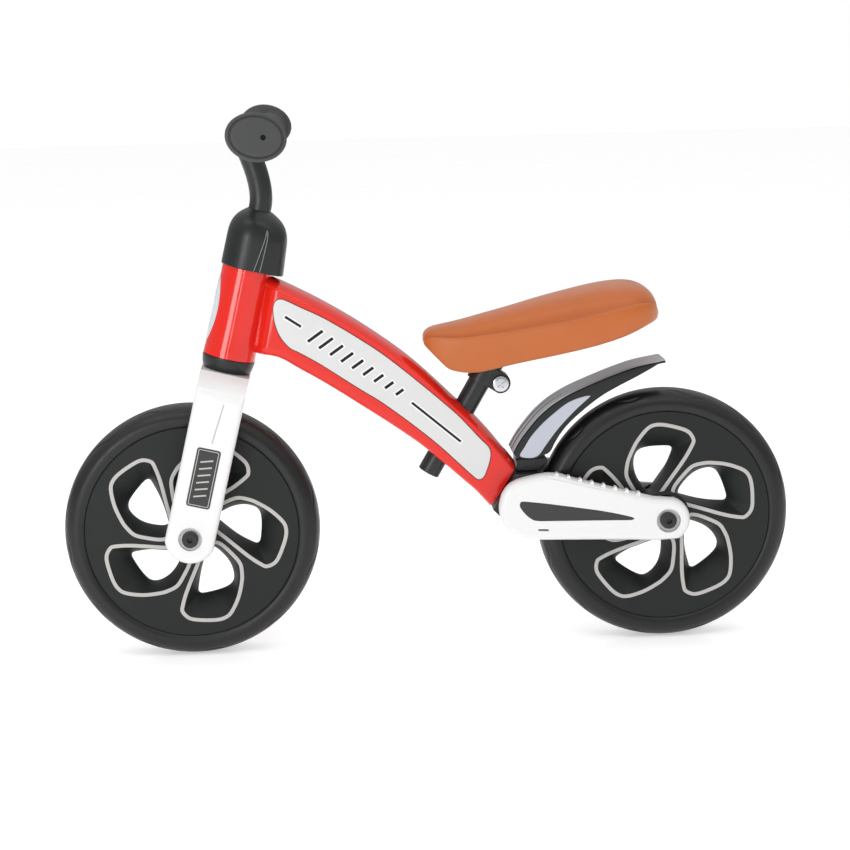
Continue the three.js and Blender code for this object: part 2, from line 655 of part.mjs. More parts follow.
// A grip is built along Z, ending at z = 0, with a wide oval guard at its end.
function grip(side) {
  const bore = TUBE_RADIUS + GAP;
  const sleeve = turnedAboutZ([[0, -98], [14, -98], [15.2, -96], [15.2, -3], [0, -3]]);
  const oval = new THREE.Shape();
  oval.absellipse(-5.9, 0.3 * side, 27.5, 21.8, 0, 2 * Math.PI);
  const guard = new THREE.ExtrudeGeometry(oval, {
    depth: 3, bevelEnabled: true, bevelThickness: 1.8, bevelSize: 2, bevelOffset: -2,
    bevelSegments: 1, curveSegments: 10,
  }).translate(0, 0, -5.2);
  const barHole = turnedAboutZ([[0, -120], [bore, -120], [bore, -4.2], [0, -4.2]]);
  const vent = turnedAboutZ([[0, -20], [2.5, -20], [2.5, 10], [0, 10]], 12);
  const body = cut(join(sleeve, guard), barHole, vent);
  const centre = new THREE.Vector3(BAR_CENTRE.t, 0, BAR_CENTRE.s).applyMatrix4(steering.matrixWorld);
  const end = GRIP_END.clone().multiply(new THREE.Vector3(1, side, 1));
  const outward = end.clone().sub(centre.setY(side * BAR_STRAIGHT_Y)).normalize();
  const turn = new THREE.Quaternion().setFromUnitVectors(new THREE.Vector3(0, 0, 1), outward);
  return body.applyQuaternion(turn).translate(end.x, end.y, end.z);
}

// ---- saddle ----
// [x, top, bottom, half width, drop from the crown to the shoulder crease]
const PAD_STATIONS = [
  [0, 315, 306, 10, 3], [9, 323, 295, 20, 6], [25, 326.5, 283, 27, 10], [52, 332.8, 278.5, 33, 15],
  [92, 343, 288, 41, 19], [136, 353.9, 296.2, 51, 22], [168, 360.6, 304, 58, 21], [195, 363.2, 314, 61, 17],
  [216, 361.2, 323, 56, 12], [228, 351, 329, 42, 8], [233, 340, 333, 20, 3],
];

function saddleSection([x, top, bottom, half, drop]) {
  const side = [
    [0.45, top - 0.2 * drop], [0.78, top - 0.6 * drop], [0.95, top - drop],
    [1, Math.max(top - drop - 5, (top + bottom) / 2)],
    [0.97, bottom + 0.18 * (top - bottom)], [0.88, bottom],
  ];
  const right = side.map(([share, z]) => [x, share * half, z]);
  const left = side.map(([share, z]) => [x, -share * half, z]);
  return [[x, 0, top], ...left, ...right.toReversed()];
}

// [x, half width] of the base board, which lies at baseLow(x).
const BASE_STATIONS = [[28, 17], [60, 23], [120, 36], [180, 46], [208, 42]];
const BASE_THICKNESS = 5;
const FLANGE = { from: 44, to: 97, halfWidth: 15, thickness: 3 };

function baseLow(x) {
  return 290.3 + (x - 44) * 0.215;
}

function board(extra, depth) {
  const last = BASE_STATIONS.length - 1;
  return loft(BASE_STATIONS.map(([x, half], i) => {
    const at = i === 0 ? x - extra : x + (i === last ? extra : 0);
    const w = half + extra;
    const high = baseLow(at) + BASE_THICKNESS + extra;
    const low = baseLow(at) - depth;
    return [[at, -w, low], [at, w, low], [at, w, high], [at, -w, high]];
  }));
}

function saddlePad() {
  return cut(loft(PAD_STATIONS.map(saddleSection)), board(0.4, 40));
}

const SADDLE_SCREW = { x: 91, y: 10 };
function saddleScrewAt(side, rise) {
  const { x, y } = SADDLE_SCREW;
  return new THREE.Vector3(x - 0.21 * rise, side * y, baseLow(x) + rise);
}

function saddleScrewHole(side, depth) {
  return rod(2.2 + GAP, saddleScrewAt(side, -12), saddleScrewAt(side, depth), 10);
}

// A foot under the rear of the base board, whose tip shows below the pad.
const REAR_FOOT = { side: [[170, 304], [184, 307.5], [186, 323], [172, 320]], halfWidth: 30 };

function saddleBase() {
  const { side, halfWidth } = REAR_FOOT;
  const foot = plate(outline(side), -halfWidth, halfWidth);
  return cut(join(board(0, 0), foot), saddleScrewHole(-1, 4.2), saddleScrewHole(1, 4.2));
}

function saddleScrew(side) {
  return join(rod(2.2, saddleScrewAt(side, -5), saddleScrewAt(side, 3.8), 10),
    rod(4.4, saddleScrewAt(side, -6.6), saddleScrewAt(side, -3.7), 12));
}

function seatClamp() {
  const { from, to, halfWidth, thickness } = FLANGE;
  const skin = (x, drop) => [x, baseLow(x) - GAP - drop];
  const flange = plate(outline([skin(from, thickness), skin(to, thickness), skin(to, 0), skin(from, 0)]),
    -halfWidth, halfWidth);
  const collar = moved(turnedAboutZ([[0, 105], [13.6, 105], [13.6, 150], [0, 150]]), post);
  const { x, height } = CLAMP_BOLT;
  const eye = plate(outline([[6, 105], ...arc(x, height, 10, -75, 75, 8), [6, 124]]), -12, 12);
  const above = plate(outline([skin(20, 1), skin(120, 1), [120, 400], [20, 400]]), -40, 40);
  const bore = turnedAboutZ([[0, 60], [TUBE_RADIUS + GAP, 60], [TUBE_RADIUS + GAP, 123], [0, 123]]);
  const slit = new THREE.BoxGeometry(30, 3, 60).translate(24, 0, 95);
  const boltHole = rodAlongY(3 + GAP, -30, 30, x, height, 12);
  const screwHoles = [saddleScrewHole(-1, 6), saddleScrewHole(1, 6)];
  const trimmed = cut(collar, above);
  return cut(join(trimmed, flange, moved(eye, post)), moved(bore, post), moved(slit, post),
    moved(boltHole, post), ...screwHoles);
}

function seatClampBolt() {
  const { x, height } = CLAMP_BOLT;
  const blank = join(rodAlongY(3, -14, 17, x, height, 12), rodAlongY(8, -15.5, -12 - GAP, x, height, 24));
  return cut(blank, rodAlongY(2.4, -20, -13.6, x, height, 6));
}

function seatClampNut() {
  const { x, height } = CLAMP_BOLT;
  return cut(rodAlongY(5.8, 12 + GAP, 17.5, x, height, 6), rodAlongY(3 + GAP, 0, 30, x, height, 12));
}

// ---- the assembly ----
const bike = new THREE.Group();

bike.add(piece('frame', mainFrame(), RED_PAINT));
bike.add(piece('rear_yoke', rearYoke(), BLACK_STEEL));
bike.add(piece('yoke_screw', yokeScrew(), BLACK_STEEL));
[['left', -1], ['right', 1]].forEach(([name, side]) => {
  bike.add(piece(`stay_cover_${name}`, stayCover(side), WHITE_PLASTIC));
  bike.add(piece(`stay_inlay_${name}`, stayInlay(side), DARK_INLAY));
  bike.add(piece(`fender_panel_${name}`, fenderPanel(side), SILVER_PLASTIC));
  bike.add(piece(`fender_screw_${name}`, fenderScrew(side), BLACK_STEEL));
  bike.add(piece(`grip_${name}`, grip(side), GRIP_RUBBER));
  bike.add(piece(`saddle_screw_${name}`, saddleScrew(side), BLACK_STEEL));
});
bike.add(piece('fender', fenderShell(), BLACK_PLASTIC));
bike.add(piece('fender_crown', fenderCrown(), SILVER_PLASTIC));
bike.add(piece('fender_bracket', fenderBracket(), BLACK_PLASTIC));
bike.add(piece('handlebar', handlebar(), BLACK_STEEL));
bike.add(piece('saddle_pad', saddlePad(), TAN_COVER));
bike.add(piece('saddle_base', saddleBase(), BLACK_PLASTIC));
bike.add(piece('seat_clamp', seatClamp(), BLACK_STEEL));

steering.add(piece('head_badge', headBadge(), SILVER_PLASTIC));
steering.add(piece('upper_headset_bush', headsetBush(true), BLACK_PLASTIC));
steering.add(piece('lower_headset_bush', headsetBush(false), BLACK_PLASTIC));
steering.add(piece('fork', fork(), WHITE_PLASTIC));
steering.add(piece('crown_ring', crownRing(), BLACK_PLASTIC));
steering.add(piece('steerer_tube',
  turnedAboutZ(ringProfile(STEERER_BORE, STEERER_RADIUS, CROWN_LOW + 1, STEERER_TOP)), BLACK_STEEL));
steering.add(piece('headset_lock_nut',
  turnedAboutZ(ringProfile(STEERER_RADIUS + GAP, 18, HEAD_TOP + 2.6, HEAD_TOP + 9)), BLACK_STEEL));
steering.add(piece('bar_clamp', barClamp(), BLACK_STEEL));
steering.add(piece('bar_clamp_bolt', barClampBolt(), BRIGHT_STEEL));
steering.add(piece('bar_clamp_nut', barClampNut(), BRIGHT_STEEL));
steering.add(piece('stem_cover', stemCover(), BLACK_PLASTIC));
bike.add(steering);

post.add(piece('seat_post_bush', seatBush(), BLACK_PLASTIC));
post.add(piece('seat_lock_screw',
  rodAlongY(3, TUBE_RADIUS + 0.4, 23.5, 0, LOCK_SCREW_HEIGHT, 12), BLACK_STEEL));
post.add(piece('seat_post',
  turnedAboutZ(ringProfile(TUBE_RADIUS - TUBE_WALL, TUBE_RADIUS, 0, POST_LENGTH)), BLACK_STEEL));
post.add(piece('seat_clamp_bolt', seatClampBolt(), BRIGHT_STEEL));
post.add(piece('seat_clamp_nut', seatClampNut(), BRIGHT_STEEL));
bike.add(post);

bike.add(wheel('front', FRONT_X, -24.6));
bike.add(wheel('rear', REAR_X, 0));
bike.add(axleHardware('front', FRONT_X, 46, 54, FORK_INNER_Y));
bike.add(axleHardware('rear', REAR_X, 38.4, 46, ARM_INNER_Y));

export default bike;
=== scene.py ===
"""Looks for the balance bike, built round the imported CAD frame.

Shapes are modelled in millimetres in the row frame and scaled to metres as each
piece is added. +X points to the rear wheel, +Y to the rider's right, +Z up.
"""
from math import atan2, copysign, cos, pi, radians, sin, sqrt

import bmesh
import bpy
from mathutils import Matrix, Vector
from mathutils.bvhtree import BVHTree
from mathutils.geometry import delaunay_2d_cdt


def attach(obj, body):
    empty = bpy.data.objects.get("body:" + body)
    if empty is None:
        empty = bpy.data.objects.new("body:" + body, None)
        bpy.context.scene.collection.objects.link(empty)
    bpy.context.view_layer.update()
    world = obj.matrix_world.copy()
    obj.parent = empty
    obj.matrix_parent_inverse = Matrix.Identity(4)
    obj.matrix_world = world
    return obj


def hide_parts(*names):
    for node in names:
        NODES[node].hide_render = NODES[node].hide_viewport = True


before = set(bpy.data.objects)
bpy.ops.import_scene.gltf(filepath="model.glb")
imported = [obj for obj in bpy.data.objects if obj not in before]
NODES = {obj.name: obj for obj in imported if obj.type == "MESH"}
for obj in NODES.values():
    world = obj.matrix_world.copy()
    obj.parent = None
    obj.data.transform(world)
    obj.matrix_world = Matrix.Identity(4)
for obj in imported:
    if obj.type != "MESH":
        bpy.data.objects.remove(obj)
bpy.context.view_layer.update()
MM = 0.001

# ---- frames shared with the CAD ----
FRONT_X, REAR_X, AXLE_Z = -236.5, 236.5, 127.0
RAKE, POST_LEAN = 14, 30.4  # degrees back from upright
STEERING = Matrix.Translation((FRONT_X, 0, AXLE_Z)) @ Matrix.Rotation(radians(RAKE), 4, "Y")
POST = Matrix.Translation((0.9, 0, 175.8)) @ Matrix.Rotation(radians(POST_LEAN), 4, "Y")
SIDES = (("left", -1), ("right", 1))


# ---- materials ----
def node(tree, kind, links, **inputs):
    """A shader node; links maps input names or numbers to sources, inputs sets constants."""
    made = tree.nodes.new(kind)
    for socket, source in links.items():
        tree.links.new(source, made.inputs[socket])
    for socket, value in inputs.items():
        made.inputs[socket.replace("_", " ")].default_value = value
    return made


def object_space(tree):
    return tree.nodes.new("ShaderNodeTexCoord").outputs["Object"]


def mix_colour(tree, factor, low, high):
    mix = tree.nodes.new("ShaderNodeMix")
    mix.data_type = "RGBA"
    tree.links.new(factor, mix.inputs[0])
    mix.inputs[6].default_value = (*low, 1)
    mix.inputs[7].default_value = (*high, 1)
    return mix.outputs[2]


def noise(tree, scale, detail):
    return node(tree, "ShaderNodeTexNoise", {"Vector": object_space(tree)}, Scale=scale, Detail=detail,
                Roughness=0.5).outputs["Fac"]


def cells(tree, scale):
    made = tree.nodes.new("ShaderNodeTexVoronoi")
    made.feature = "SMOOTH_F1"
    made.inputs["Scale"].default_value = scale
    made.inputs["Smoothness"].default_value = 0.6
    tree.links.new(object_space(tree), made.inputs["Vector"])
    return made.outputs["Distance"]


def ranged(tree, source, low, high):
    return node(tree, "ShaderNodeMapRange", {"Value": source}, From_Min=0.3, From_Max=0.7, To_Min=low,
                To_Max=high).outputs["Result"]


def bumped(tree, shader, height, strength, distance_mm, below=None):
    links = {"Height": height} if below is None else {"Height": height, "Normal": below}
    bump = node(tree, "ShaderNodeBump", links, Strength=strength, Distance=distance_mm * MM)
    tree.links.new(bump.outputs["Normal"], shader.inputs["Normal"])
    return bump.outputs["Normal"]


def finish(name, colour, rough, spread=0.04, tint=0.06, patch=28, grain=(900, 0.1, 0.05), pebble=None,
           **sockets):
    """A procedural surface: blotchy tint, uneven roughness and one or two bumps.

    Grain and pebble are bumps: (scale, strength, depth in millimetres).
    """
    made = bpy.data.materials.new(name)
    made.use_nodes = True
    tree = made.node_tree
    shader = tree.nodes["Principled BSDF"]
    low = tuple(c * (1 - tint) for c in colour)
    high = tuple(min(1, c * (1 + tint)) for c in colour)
    tree.links.new(mix_colour(tree, noise(tree, patch, 4), low, high), shader.inputs["Base Color"])
    tree.links.new(ranged(tree, noise(tree, patch * 3.7, 5), rough - spread, rough + spread),
                   shader.inputs["Roughness"])
    below = bumped(tree, shader, cells(tree, pebble[0]), *pebble[1:]) if pebble else None
    bumped(tree, shader, noise(tree, grain[0], 3), *grain[1:], below)
    for socket, value in sockets.items():
        shader.inputs[socket.replace("_", " ")].default_value = value
    return made


PRINT_GRAIN = (1500, 0.1, 0.05)
RED = finish("red_gloss_paint", (0.74, 0.016, 0.008), 0.32, tint=0.025, grain=(150, 0.02, 0.01),
             Coat_Weight=1.0, Coat_Roughness=0.05, Coat_IOR=1.44, Specular_IOR_Level=0.1)
WHITE = finish("white_gloss_plastic", (0.825, 0.825, 0.823), 0.3, spread=0.01, tint=0.003,
               grain=(260, 0.03, 0.02), Coat_Weight=0.3, Coat_Roughness=0.12)
BLACK = finish("black_satin_plastic", (0.013, 0.0145, 0.0145), 0.33, grain=(2600, 0.12, 0.03),
               Specular_IOR_Level=0.38)
INLAY = finish("dark_grey_inlay", (0.045, 0.046, 0.045), 0.46, grain=(2400, 0.2, 0.03),
               Specular_IOR_Level=0.3)
# black for the printed marks on the frame decals, and also painted shade on the floor of each stay cover
# slot
BLACK_PRINT_AND_SHADE = finish("black_print_and_slot_shade", (0.008, 0.008, 0.009), 0.4, tint=0.1, grain=(1800, 0.1, 0.05),
              Specular_IOR_Level=0.3)
LINE = finish("pale_grey_line", (0.50, 0.485, 0.47), 0.45, tint=0.04, grain=PRINT_GRAIN)
# pale grey standing in for the highlights on the rounded edges of the stem cover's grooves: a painted
# highlight
PAINTED_HIGHLIGHT = finish("painted_edge_highlight", (0.22, 0.23, 0.24), 0.3, tint=0.1, grain=PRINT_GRAIN)
WHITE_PRINT = finish("white_print", (0.88, 0.88, 0.88), 0.35, tint=0.02, grain=PRINT_GRAIN)
DARK_RED = finish("dark_red_edge", (0.13, 0.010, 0.008), 0.35, tint=0.08, grain=PRINT_GRAIN)
SILVER = finish("silver_film", (0.68, 0.685, 0.68), 0.34, tint=0.03, grain=(900, 0.03, 0.01), Metallic=0.15)
FENDER_SILVER = finish("silver_satin_plastic", (0.43, 0.43, 0.47), 0.3, spread=0.008, tint=0.012,
                       grain=(90, 0.005, 0.01), Metallic=0.25)
WINDOW_SILVER = finish("pale_silver_plastic", (0.50, 0.52, 0.59), 0.22, tint=0.04, grain=(260, 0.02, 0.01),
                       Metallic=0.4)
BADGE = finish("pearl_badge", (0.66, 0.74, 0.82), 0.2, tint=0.06, grain=(900, 0.1, 0.05), Coat_Weight=1.0,
               Coat_Roughness=0.04)
FOAM = finish("foam_tyre", (0.0075, 0.0082, 0.0078), 0.38, spread=0.05, tint=0.14, grain=(1700, 0.22, 0.05),
              pebble=(950, 0.08, 0.04), Specular_IOR_Level=0.42)
WHEEL = finish("wheel_plastic", (0.0165, 0.0190, 0.0182), 0.5, tint=0.1, grain=(2800, 0.25, 0.03),
               Specular_IOR_Level=0.24)
RUBBER = finish("grip_rubber", (0.058, 0.059, 0.059), 0.6, tint=0.08, grain=(2200, 0.3, 0.05),
                pebble=(1500, 0.12, 0.04), Specular_IOR_Level=0.4)
STEEL = finish("black_powder_coat", (0.015, 0.0165, 0.0165), 0.34, tint=0.08, grain=(1400, 0.2, 0.04),
               Specular_IOR_Level=0.42)
BRIGHT = finish("zinc_plate", (0.62, 0.63, 0.65), 0.24, spread=0.08, tint=0.06, grain=(700, 0.1, 0.02),
                Metallic=1.0)
TAN = finish("tan_soft_cover", (0.50, 0.125, 0.024), 0.42, spread=0.05, tint=0.06, patch=16,
             grain=(520, 0.08, 0.08), pebble=(1150, 0.2, 0.08), Sheen_Weight=0.22, Sheen_Roughness=0.4,
             Specular_IOR_Level=0.42)
SLOT_LOOKS = {
    "red_paint": RED, "white_plastic": WHITE, "black_plastic": BLACK, "dark_inlay": INLAY,
    "silver_plastic": FENDER_SILVER, "foam_tyre": FOAM, "wheel_plastic": WHEEL, "grip_rubber": RUBBER,
    "black_steel": STEEL, "bright_steel": BRIGHT, "tan_leather": TAN,
}
LOOK_SLOTS = {look.name: slot for slot, look in SLOT_LOOKS.items()}
LOOK_SLOTS.update({DARK_RED.name: "red_paint", WHITE_PRINT.name: "white_plastic"})
LOOK_SLOTS.update({look.name: "black_plastic" for look in (BLACK_PRINT_AND_SHADE, PAINTED_HIGHLIGHT)})
LOOK_SLOTS.update({look.name: "silver_plastic" for look in (LINE, SILVER, WINDOW_SILVER, BADGE)})


# ---- outlines ----
def numbers(text):
    """A table of numbers: rows apart by spaces, values by commas."""
    return [tuple(float(v) for v in row.split(",")) for row in text.split()]


def smooth_loop(points, per=6, closed=True):
    """A Catmull-Rom curve through the points."""
    count = len(points)
    pts = [Vector(p) for p in points]
    made = []
    spans = count if closed else count - 1
    for i in range(spans):
        at = (lambda k: pts[k % count]) if closed else (lambda k: pts[min(max(k, 0), count - 1)])
        p0, p1, p2, p3 = at(i - 1), at(i), at(i + 1), at(i + 2)
        for k in range(per):
            u = k / per
            made.append(0.5 * ((2 * p1) + (p2 - p0) * u + (2 * p0 - 5 * p1 + 4 * p2 - p3) * u * u
                               + (3 * p1 - p0 - 3 * p2 + p3) * u ** 3))
    if not closed:
        made.append(pts[-1])
    return made


def resample(points, count, closed=True):
    """The same line in equal steps."""
    pts = [Vector(p) for p in points] + ([Vector(points[0])] if closed else [])
    run = [0.0]
    for a, b in zip(pts, pts[1:]):
        run.append(run[-1] + (b - a).length)
    made, k = [], 0
    for i in range(count):
        want = run[-1] * i / (count if closed else count - 1)
        while k + 2 < len(run) and run[k + 1] < want:
            k += 1
        share = (want - run[k]) / max(run[k + 1] - run[k], 1e-9)
        made.append(pts[k].lerp(pts[k + 1], min(1, share)))
    return made


def curve(points, per, count, closed=True):
    """A smooth line through the points, in equal steps."""
    return resample(smooth_loop(points, per, closed), count, closed)


def rounded(corners, steps=8):
    """A closed outline of corners (x, z, reach), each rounded by a quadratic bend."""
    made = []
    for i, (x, z, reach) in enumerate(corners):
        here = Vector((x, z))
        before = Vector(corners[i - 1][:2]) - here
        after = Vector(corners[(i + 1) % len(corners)][:2]) - here
        start, end = here + before.normalized() * reach, here + after.normalized() * reach
        for k in range(steps + 1):
            u = k / steps
            made.append(start * (1 - u) ** 2 + here * 2 * u * (1 - u) + end * u * u)
    return made


def area(points):
    return sum(a[0] * b[1] - b[0] * a[1] for a, b in zip(points, points[1:] + points[:1])) / 2


def inset(points, depth):
    """The outline drawn in by depth, or out where depth is negative."""
    pts = [Vector(p[:2]) for p in points]
    turn = 1 if area(pts) > 0 else -1
    made = []
    for i, here in enumerate(pts):
        before = (here - pts[i - 1])
        after = (pts[(i + 1) % len(pts)] - here)
        if before.length < 1e-7 or after.length < 1e-7:
            before = after = (pts[(i + 1) % len(pts)] - pts[i - 1])
        normal = Vector((-before.y, before.x)).normalized() + Vector((-after.y, after.x)).normalized()
        normal.normalize()
        lean = max(0.6, normal.dot(Vector((-after.y, after.x)).normalized()))
        made.append(here + normal * turn * depth / lean)
    return made


def inside(point, polygon):
    hit = False
    x, z = point
    for a, b in zip(polygon, polygon[1:] + polygon[:1]):
        if (a[1] > z) != (b[1] > z) and x < (b[0] - a[0]) * (z - a[1]) / (b[1] - a[1]) + a[0]:
            hit = not hit
    return hit


def arc(cx, cz, radius, start, end, steps):
    return [(cx + radius * cos(radians(start + (end - start) * i / steps)),
             cz + radius * sin(radians(start + (end - start) * i / steps)))
            for i in range(steps + 1)]


def along(table, x):
    """The value at x on a line through (x, value) pairs."""
    if x <= table[0][0]:
        return table[0][1]
    for (x0, v0), (x1, v1) in zip(table, table[1:]):
        if x <= x1:
            return v0 + (v1 - v0) * (x - x0) / (x1 - x0)
    return table[-1][1]


# ---- mesh building, all in millimetres ----
def skin(rings, wrap=True, caps=True, closed=False):
    """Quads over rings of equal count; caps close the ends, closed joins the last to the first."""
    bm = bmesh.new()
    rows = [[bm.verts.new(p) for p in ring] for ring in rings]
    pairs = list(zip(rows, rows[1:])) + ([(rows[-1], rows[0])] if closed else [])
    for a, b in pairs:
        for j in range(len(a) if wrap else len(a) - 1):
            k = (j + 1) % len(a)
            bm.faces.new((a[j], a[k], b[k], b[j]))
    if caps and not closed:
        bm.faces.new(rows[0][::-1])
        bm.faces.new(rows[-1])
    bmesh.ops.recalc_face_normals(bm, faces=bm.faces)
    return bm


def revolve(profile, axis="Z", segments=96, closed=False):
    """A (radius, height) profile turned about Z or Y. An open profile is capped."""
    rings = []
    turns = [2 * pi * k / segments for k in range(segments)]
    for r, h in profile:
        ring = [(r * cos(a), r * sin(a), h) for a in turns]
        rings.append(ring if axis == "Z" else [(c, h, s) for c, s, h in ring])
    return skin(rings, closed=closed)


def slab(points, low, high, edge_low=0.0, edge_high=0.0, steps=5, plane="XZ"):
    """An outline given thickness along Y (or X, or Z), with rounded edges."""
    layers = []
    for k in range(steps + 1 if edge_low > 0 else 1):
        a = pi / 2 * (1 - k / steps) if edge_low > 0 else 0
        layers.append((edge_low * (1 - cos(a)), low + edge_low * (1 - sin(a))))
    for k in range(steps + 1 if edge_high > 0 else 1):
        a = pi / 2 * k / steps if edge_high > 0 else 0
        layers.append((edge_high * (1 - cos(a)), high - edge_high * (1 - sin(a))))
    place = {"XZ": lambda p, d: (p[0], d, p[1]), "YZ": lambda p, d: (d, p[0], p[1]),
             "XY": lambda p, d: (p[0], p[1], d)}[plane]
    return skin([[place(p, depth) for p in (inset(points, draw) if draw > 1e-6 else points)]
                 for draw, depth in layers])


def sweep(path, radius, segments=32):
    """A round bar along a path; radius may be a function of the share along it."""
    pts = [Vector(p) for p in path]
    side = None
    rings = []
    for i, here in enumerate(pts):
        ahead = (pts[min(i + 1, len(pts) - 1)] - pts[max(i - 1, 0)]).normalized()
        if side is None:
            side = ahead.orthogonal().normalized()
        side = (side - ahead * side.dot(ahead)).normalized()
        other = ahead.cross(side)
        r = radius(i / (len(pts) - 1)) if callable(radius) else radius
        rings.append([here + r * (side * cos(2 * pi * k / segments)
                                  + other * sin(2 * pi * k / segments))
                      for k in range(segments)])
    return skin(rings)


def placed(bm, matrix):
    bmesh.ops.transform(bm, matrix=matrix, verts=bm.verts)
    if matrix.determinant() < 0:
        bmesh.ops.reverse_faces(bm, faces=bm.faces)
    return bm


def mirrored(bm):
    return placed(bm, Matrix.Scale(-1, 4, (0, 1, 0)))


def absorb(whole, *parts):
    """Move the parts' faces into the whole, left as they are."""
    for bm in parts:
        mesh = bpy.data.meshes.new("scratch")
        bm.to_mesh(mesh)
        bm.free()
        whole.from_mesh(mesh)
        bpy.data.meshes.remove(mesh)
    return whole


def joined(*parts):
    return absorb(bmesh.new(), *parts)


def drop_loose(bm):
    for v in [v for v in bm.verts if not v.link_faces]:
        bm.verts.remove(v)


def mean(verts, face):
    return sum((verts[i] for i in face), Vector((0, 0))) / len(face)


def ring_of(line, half):
    """A closed ring round a point on the top line: half a section of (y, drop), mirrored in Y."""
    point, down = line
    both = half + [(-y, drop) for y, drop in half[-2:0:-1]]
    return [((point + down * drop).x, y, (point + down * drop).y) for y, drop in both]


def scratch_object(bm):
    mesh = bpy.data.meshes.new("scratch")
    bm.to_mesh(mesh)
    bm.free()
    obj = bpy.data.objects.new("scratch", mesh)
    bpy.context.scene.collection.objects.link(obj)
    return obj


def combined(kind, first, *others):
    """UNION, DIFFERENCE or INTERSECT of closed meshes."""
    base = scratch_object(first)
    tools = [scratch_object(bm) for bm in others]
    for tool in tools:
        step = base.modifiers.new("step", "BOOLEAN")
        step.operation, step.object = kind, tool
        step.solver = "MANIFOLD"
    bpy.context.view_layer.update()
    seen = base.evaluated_get(bpy.context.evaluated_depsgraph_get())
    result = bmesh.new()
    result.from_mesh(seen.to_mesh())
    seen.to_mesh_clear()
    for obj in [base, *tools]:
        mesh = obj.data
        bpy.data.objects.remove(obj)
        bpy.data.meshes.remove(mesh)
    return result


def union(first, *others):
    return combined("UNION", first, *others)


def minus(first, *others):
    return combined("DIFFERENCE", first, *others)


def common(first, *others):
    return combined("INTERSECT", first, *others)


def add(name, bm, look, body, stands_for=(), sharp=32, weighted=True):
    """A finished piece that rides a body, from a mesh in millimetres. The look gives its slot."""
    bmesh.ops.scale(bm, vec=(MM, MM, MM), verts=bm.verts)
    for face in bm.faces:
        face.smooth = True
    mesh = bpy.data.meshes.new(name)
    bm.to_mesh(mesh)
    bm.free()
    mesh.set_sharp_from_angle(angle=radians(sharp))
    mesh.materials.append(look)
    obj = bpy.data.objects.new(name, mesh)
    bpy.context.scene.collection.objects.link(obj)
    if weighted:
        normals = obj.modifiers.new("normals", "WEIGHTED_NORMAL")
        normals.keep_sharp = True
    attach(obj, body)
    if stands_for:
        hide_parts(*stands_for)
    return obj


def cylinder_y(radius, low, high, x, z, segments=64):
    return placed(revolve([(radius, low), (radius, high)], "Y", segments), Matrix.Translation((x, 0, z)))


def cast(tree, point, side, transform):
    """Where a surface is met along Y from one side at (x, z), or None, and the way the ray went."""
    aim = (transform.to_3x3() @ Vector((0, -side, 0))).normalized()
    return tree.ray_cast(transform @ Vector((point[0], side * 90, point[1])), aim)[0], aim


def film(points, tree, side, lift, thickness=0.35, step=5.0, transform=Matrix.Identity(4)):
    """A thin sheet over an outline in X and Z, laid on a surface seen along Y from one side."""
    flat = [Vector(p[:2]) for p in points]
    low = Vector((min(p.x for p in flat), min(p.y for p in flat)))
    high = Vector((max(p.x for p in flat), max(p.y for p in flat)))
    core = inset(flat, step * 0.4)
    grid = []
    x = low.x + step / 2
    while x < high.x:
        z = low.y + step / 2
        while z < high.y:
            if inside((x, z), core):
                grid.append(Vector((x, z)))
            z += step
        x += step
    count = len(flat)
    edges = [(i, (i + 1) % count) for i in range(count)]
    verts, _, faces, *_ = delaunay_2d_cdt(flat + grid, edges, [], 0, 1e-5)
    bm = bmesh.new()
    top, under = [], []
    for p in verts:
        hit, aim = cast(tree, p, side, transform)
        if hit is None:
            hit = transform @ Vector((p.x, 0, p.y))
        top.append(bm.verts.new(hit - aim * lift))
        under.append(bm.verts.new(hit - aim * (lift - thickness)))
    rim = {}
    for face in faces:
        middle = mean(verts, face)
        if not inside(middle, flat):
            continue
        bm.faces.new([top[i] for i in face])
        bm.faces.new([under[i] for i in face][::-1])
        for a, b in zip(face, face[1:] + face[:1]):
            rim[(a, b)] = rim.get((a, b), 0) + 1
    for a, b in rim:
        if (b, a) not in rim:
            bm.faces.new((top[b], top[a], under[a], under[b]))
    drop_loose(bm)
    bmesh.ops.recalc_face_normals(bm, faces=bm.faces)
    return bm


# ---- wheels ----
PETAL = numbers("""
    12,16.5 7.6,22.6 9.4,30.4 18,41.7 26.7,50.3 37.1,53.3 45.8,53.8 61.4,52.1 77,46.9 83.9,40.8 87.4,30.4
    88.8,13.1 87.4,4.4 82.2,-1.7 77,-2.5 61.4,0.1 37.1,7 16.3,13.1""")
WAIST = numbers("""
    16,18.8 17,23.6 20.6,29 25.3,34.7 31,39.6 37.6,43.2 44,45 49.5,45 54.4,42 57.6,37 60.2,31.4 62.6,25.5
    64.6,19.8 65.8,14.6 63.6,11.6 56,11.4 45.9,11.9 35,13.2 25.3,14.8 19,16.2""")
FACE_Y, DISC_RADIUS = 20.2, 105.5
PETALS, PETAL_PITCH = 5, 72
PETAL_POINTS = 120
LINE_WIDTH = 3.6
# across a pale line: (share of its half width, height over the wheel's face)
LINE_SECTION = numbers("-1,-0.3 -1,0.22 -0.8,0.36 0,0.42 0.8,0.36 1,0.22 1,-0.3")


def turned(points, degrees):
    c, s = cos(radians(degrees)), sin(radians(degrees))
    return [Vector((p[0] * c - p[1] * s, p[0] * s + p[1] * c)) for p in points]


def matched_waist(face):
    """Waist points in step with the face outline, by direction from a shared middle."""
    waist = curve(WAIST, 8, 240)
    middle = Vector((44, 27))
    made = []
    spin = [atan2(p.y - middle.y, (p.x - middle.x) * 0.62) for p in waist]
    for p in face:
        want = atan2(p.y - middle.y, (p.x - middle.x) * 0.62)
        best = min(range(len(waist)), key=lambda i: abs((spin[i] - want + pi) % (2 * pi) - pi))
        made.append(waist[best])
    for _ in range(3):
        made = [(made[i - 1] + made[i] * 2 + made[(i + 1) % len(made)]) / 4 for i in range(len(made))]
    return made


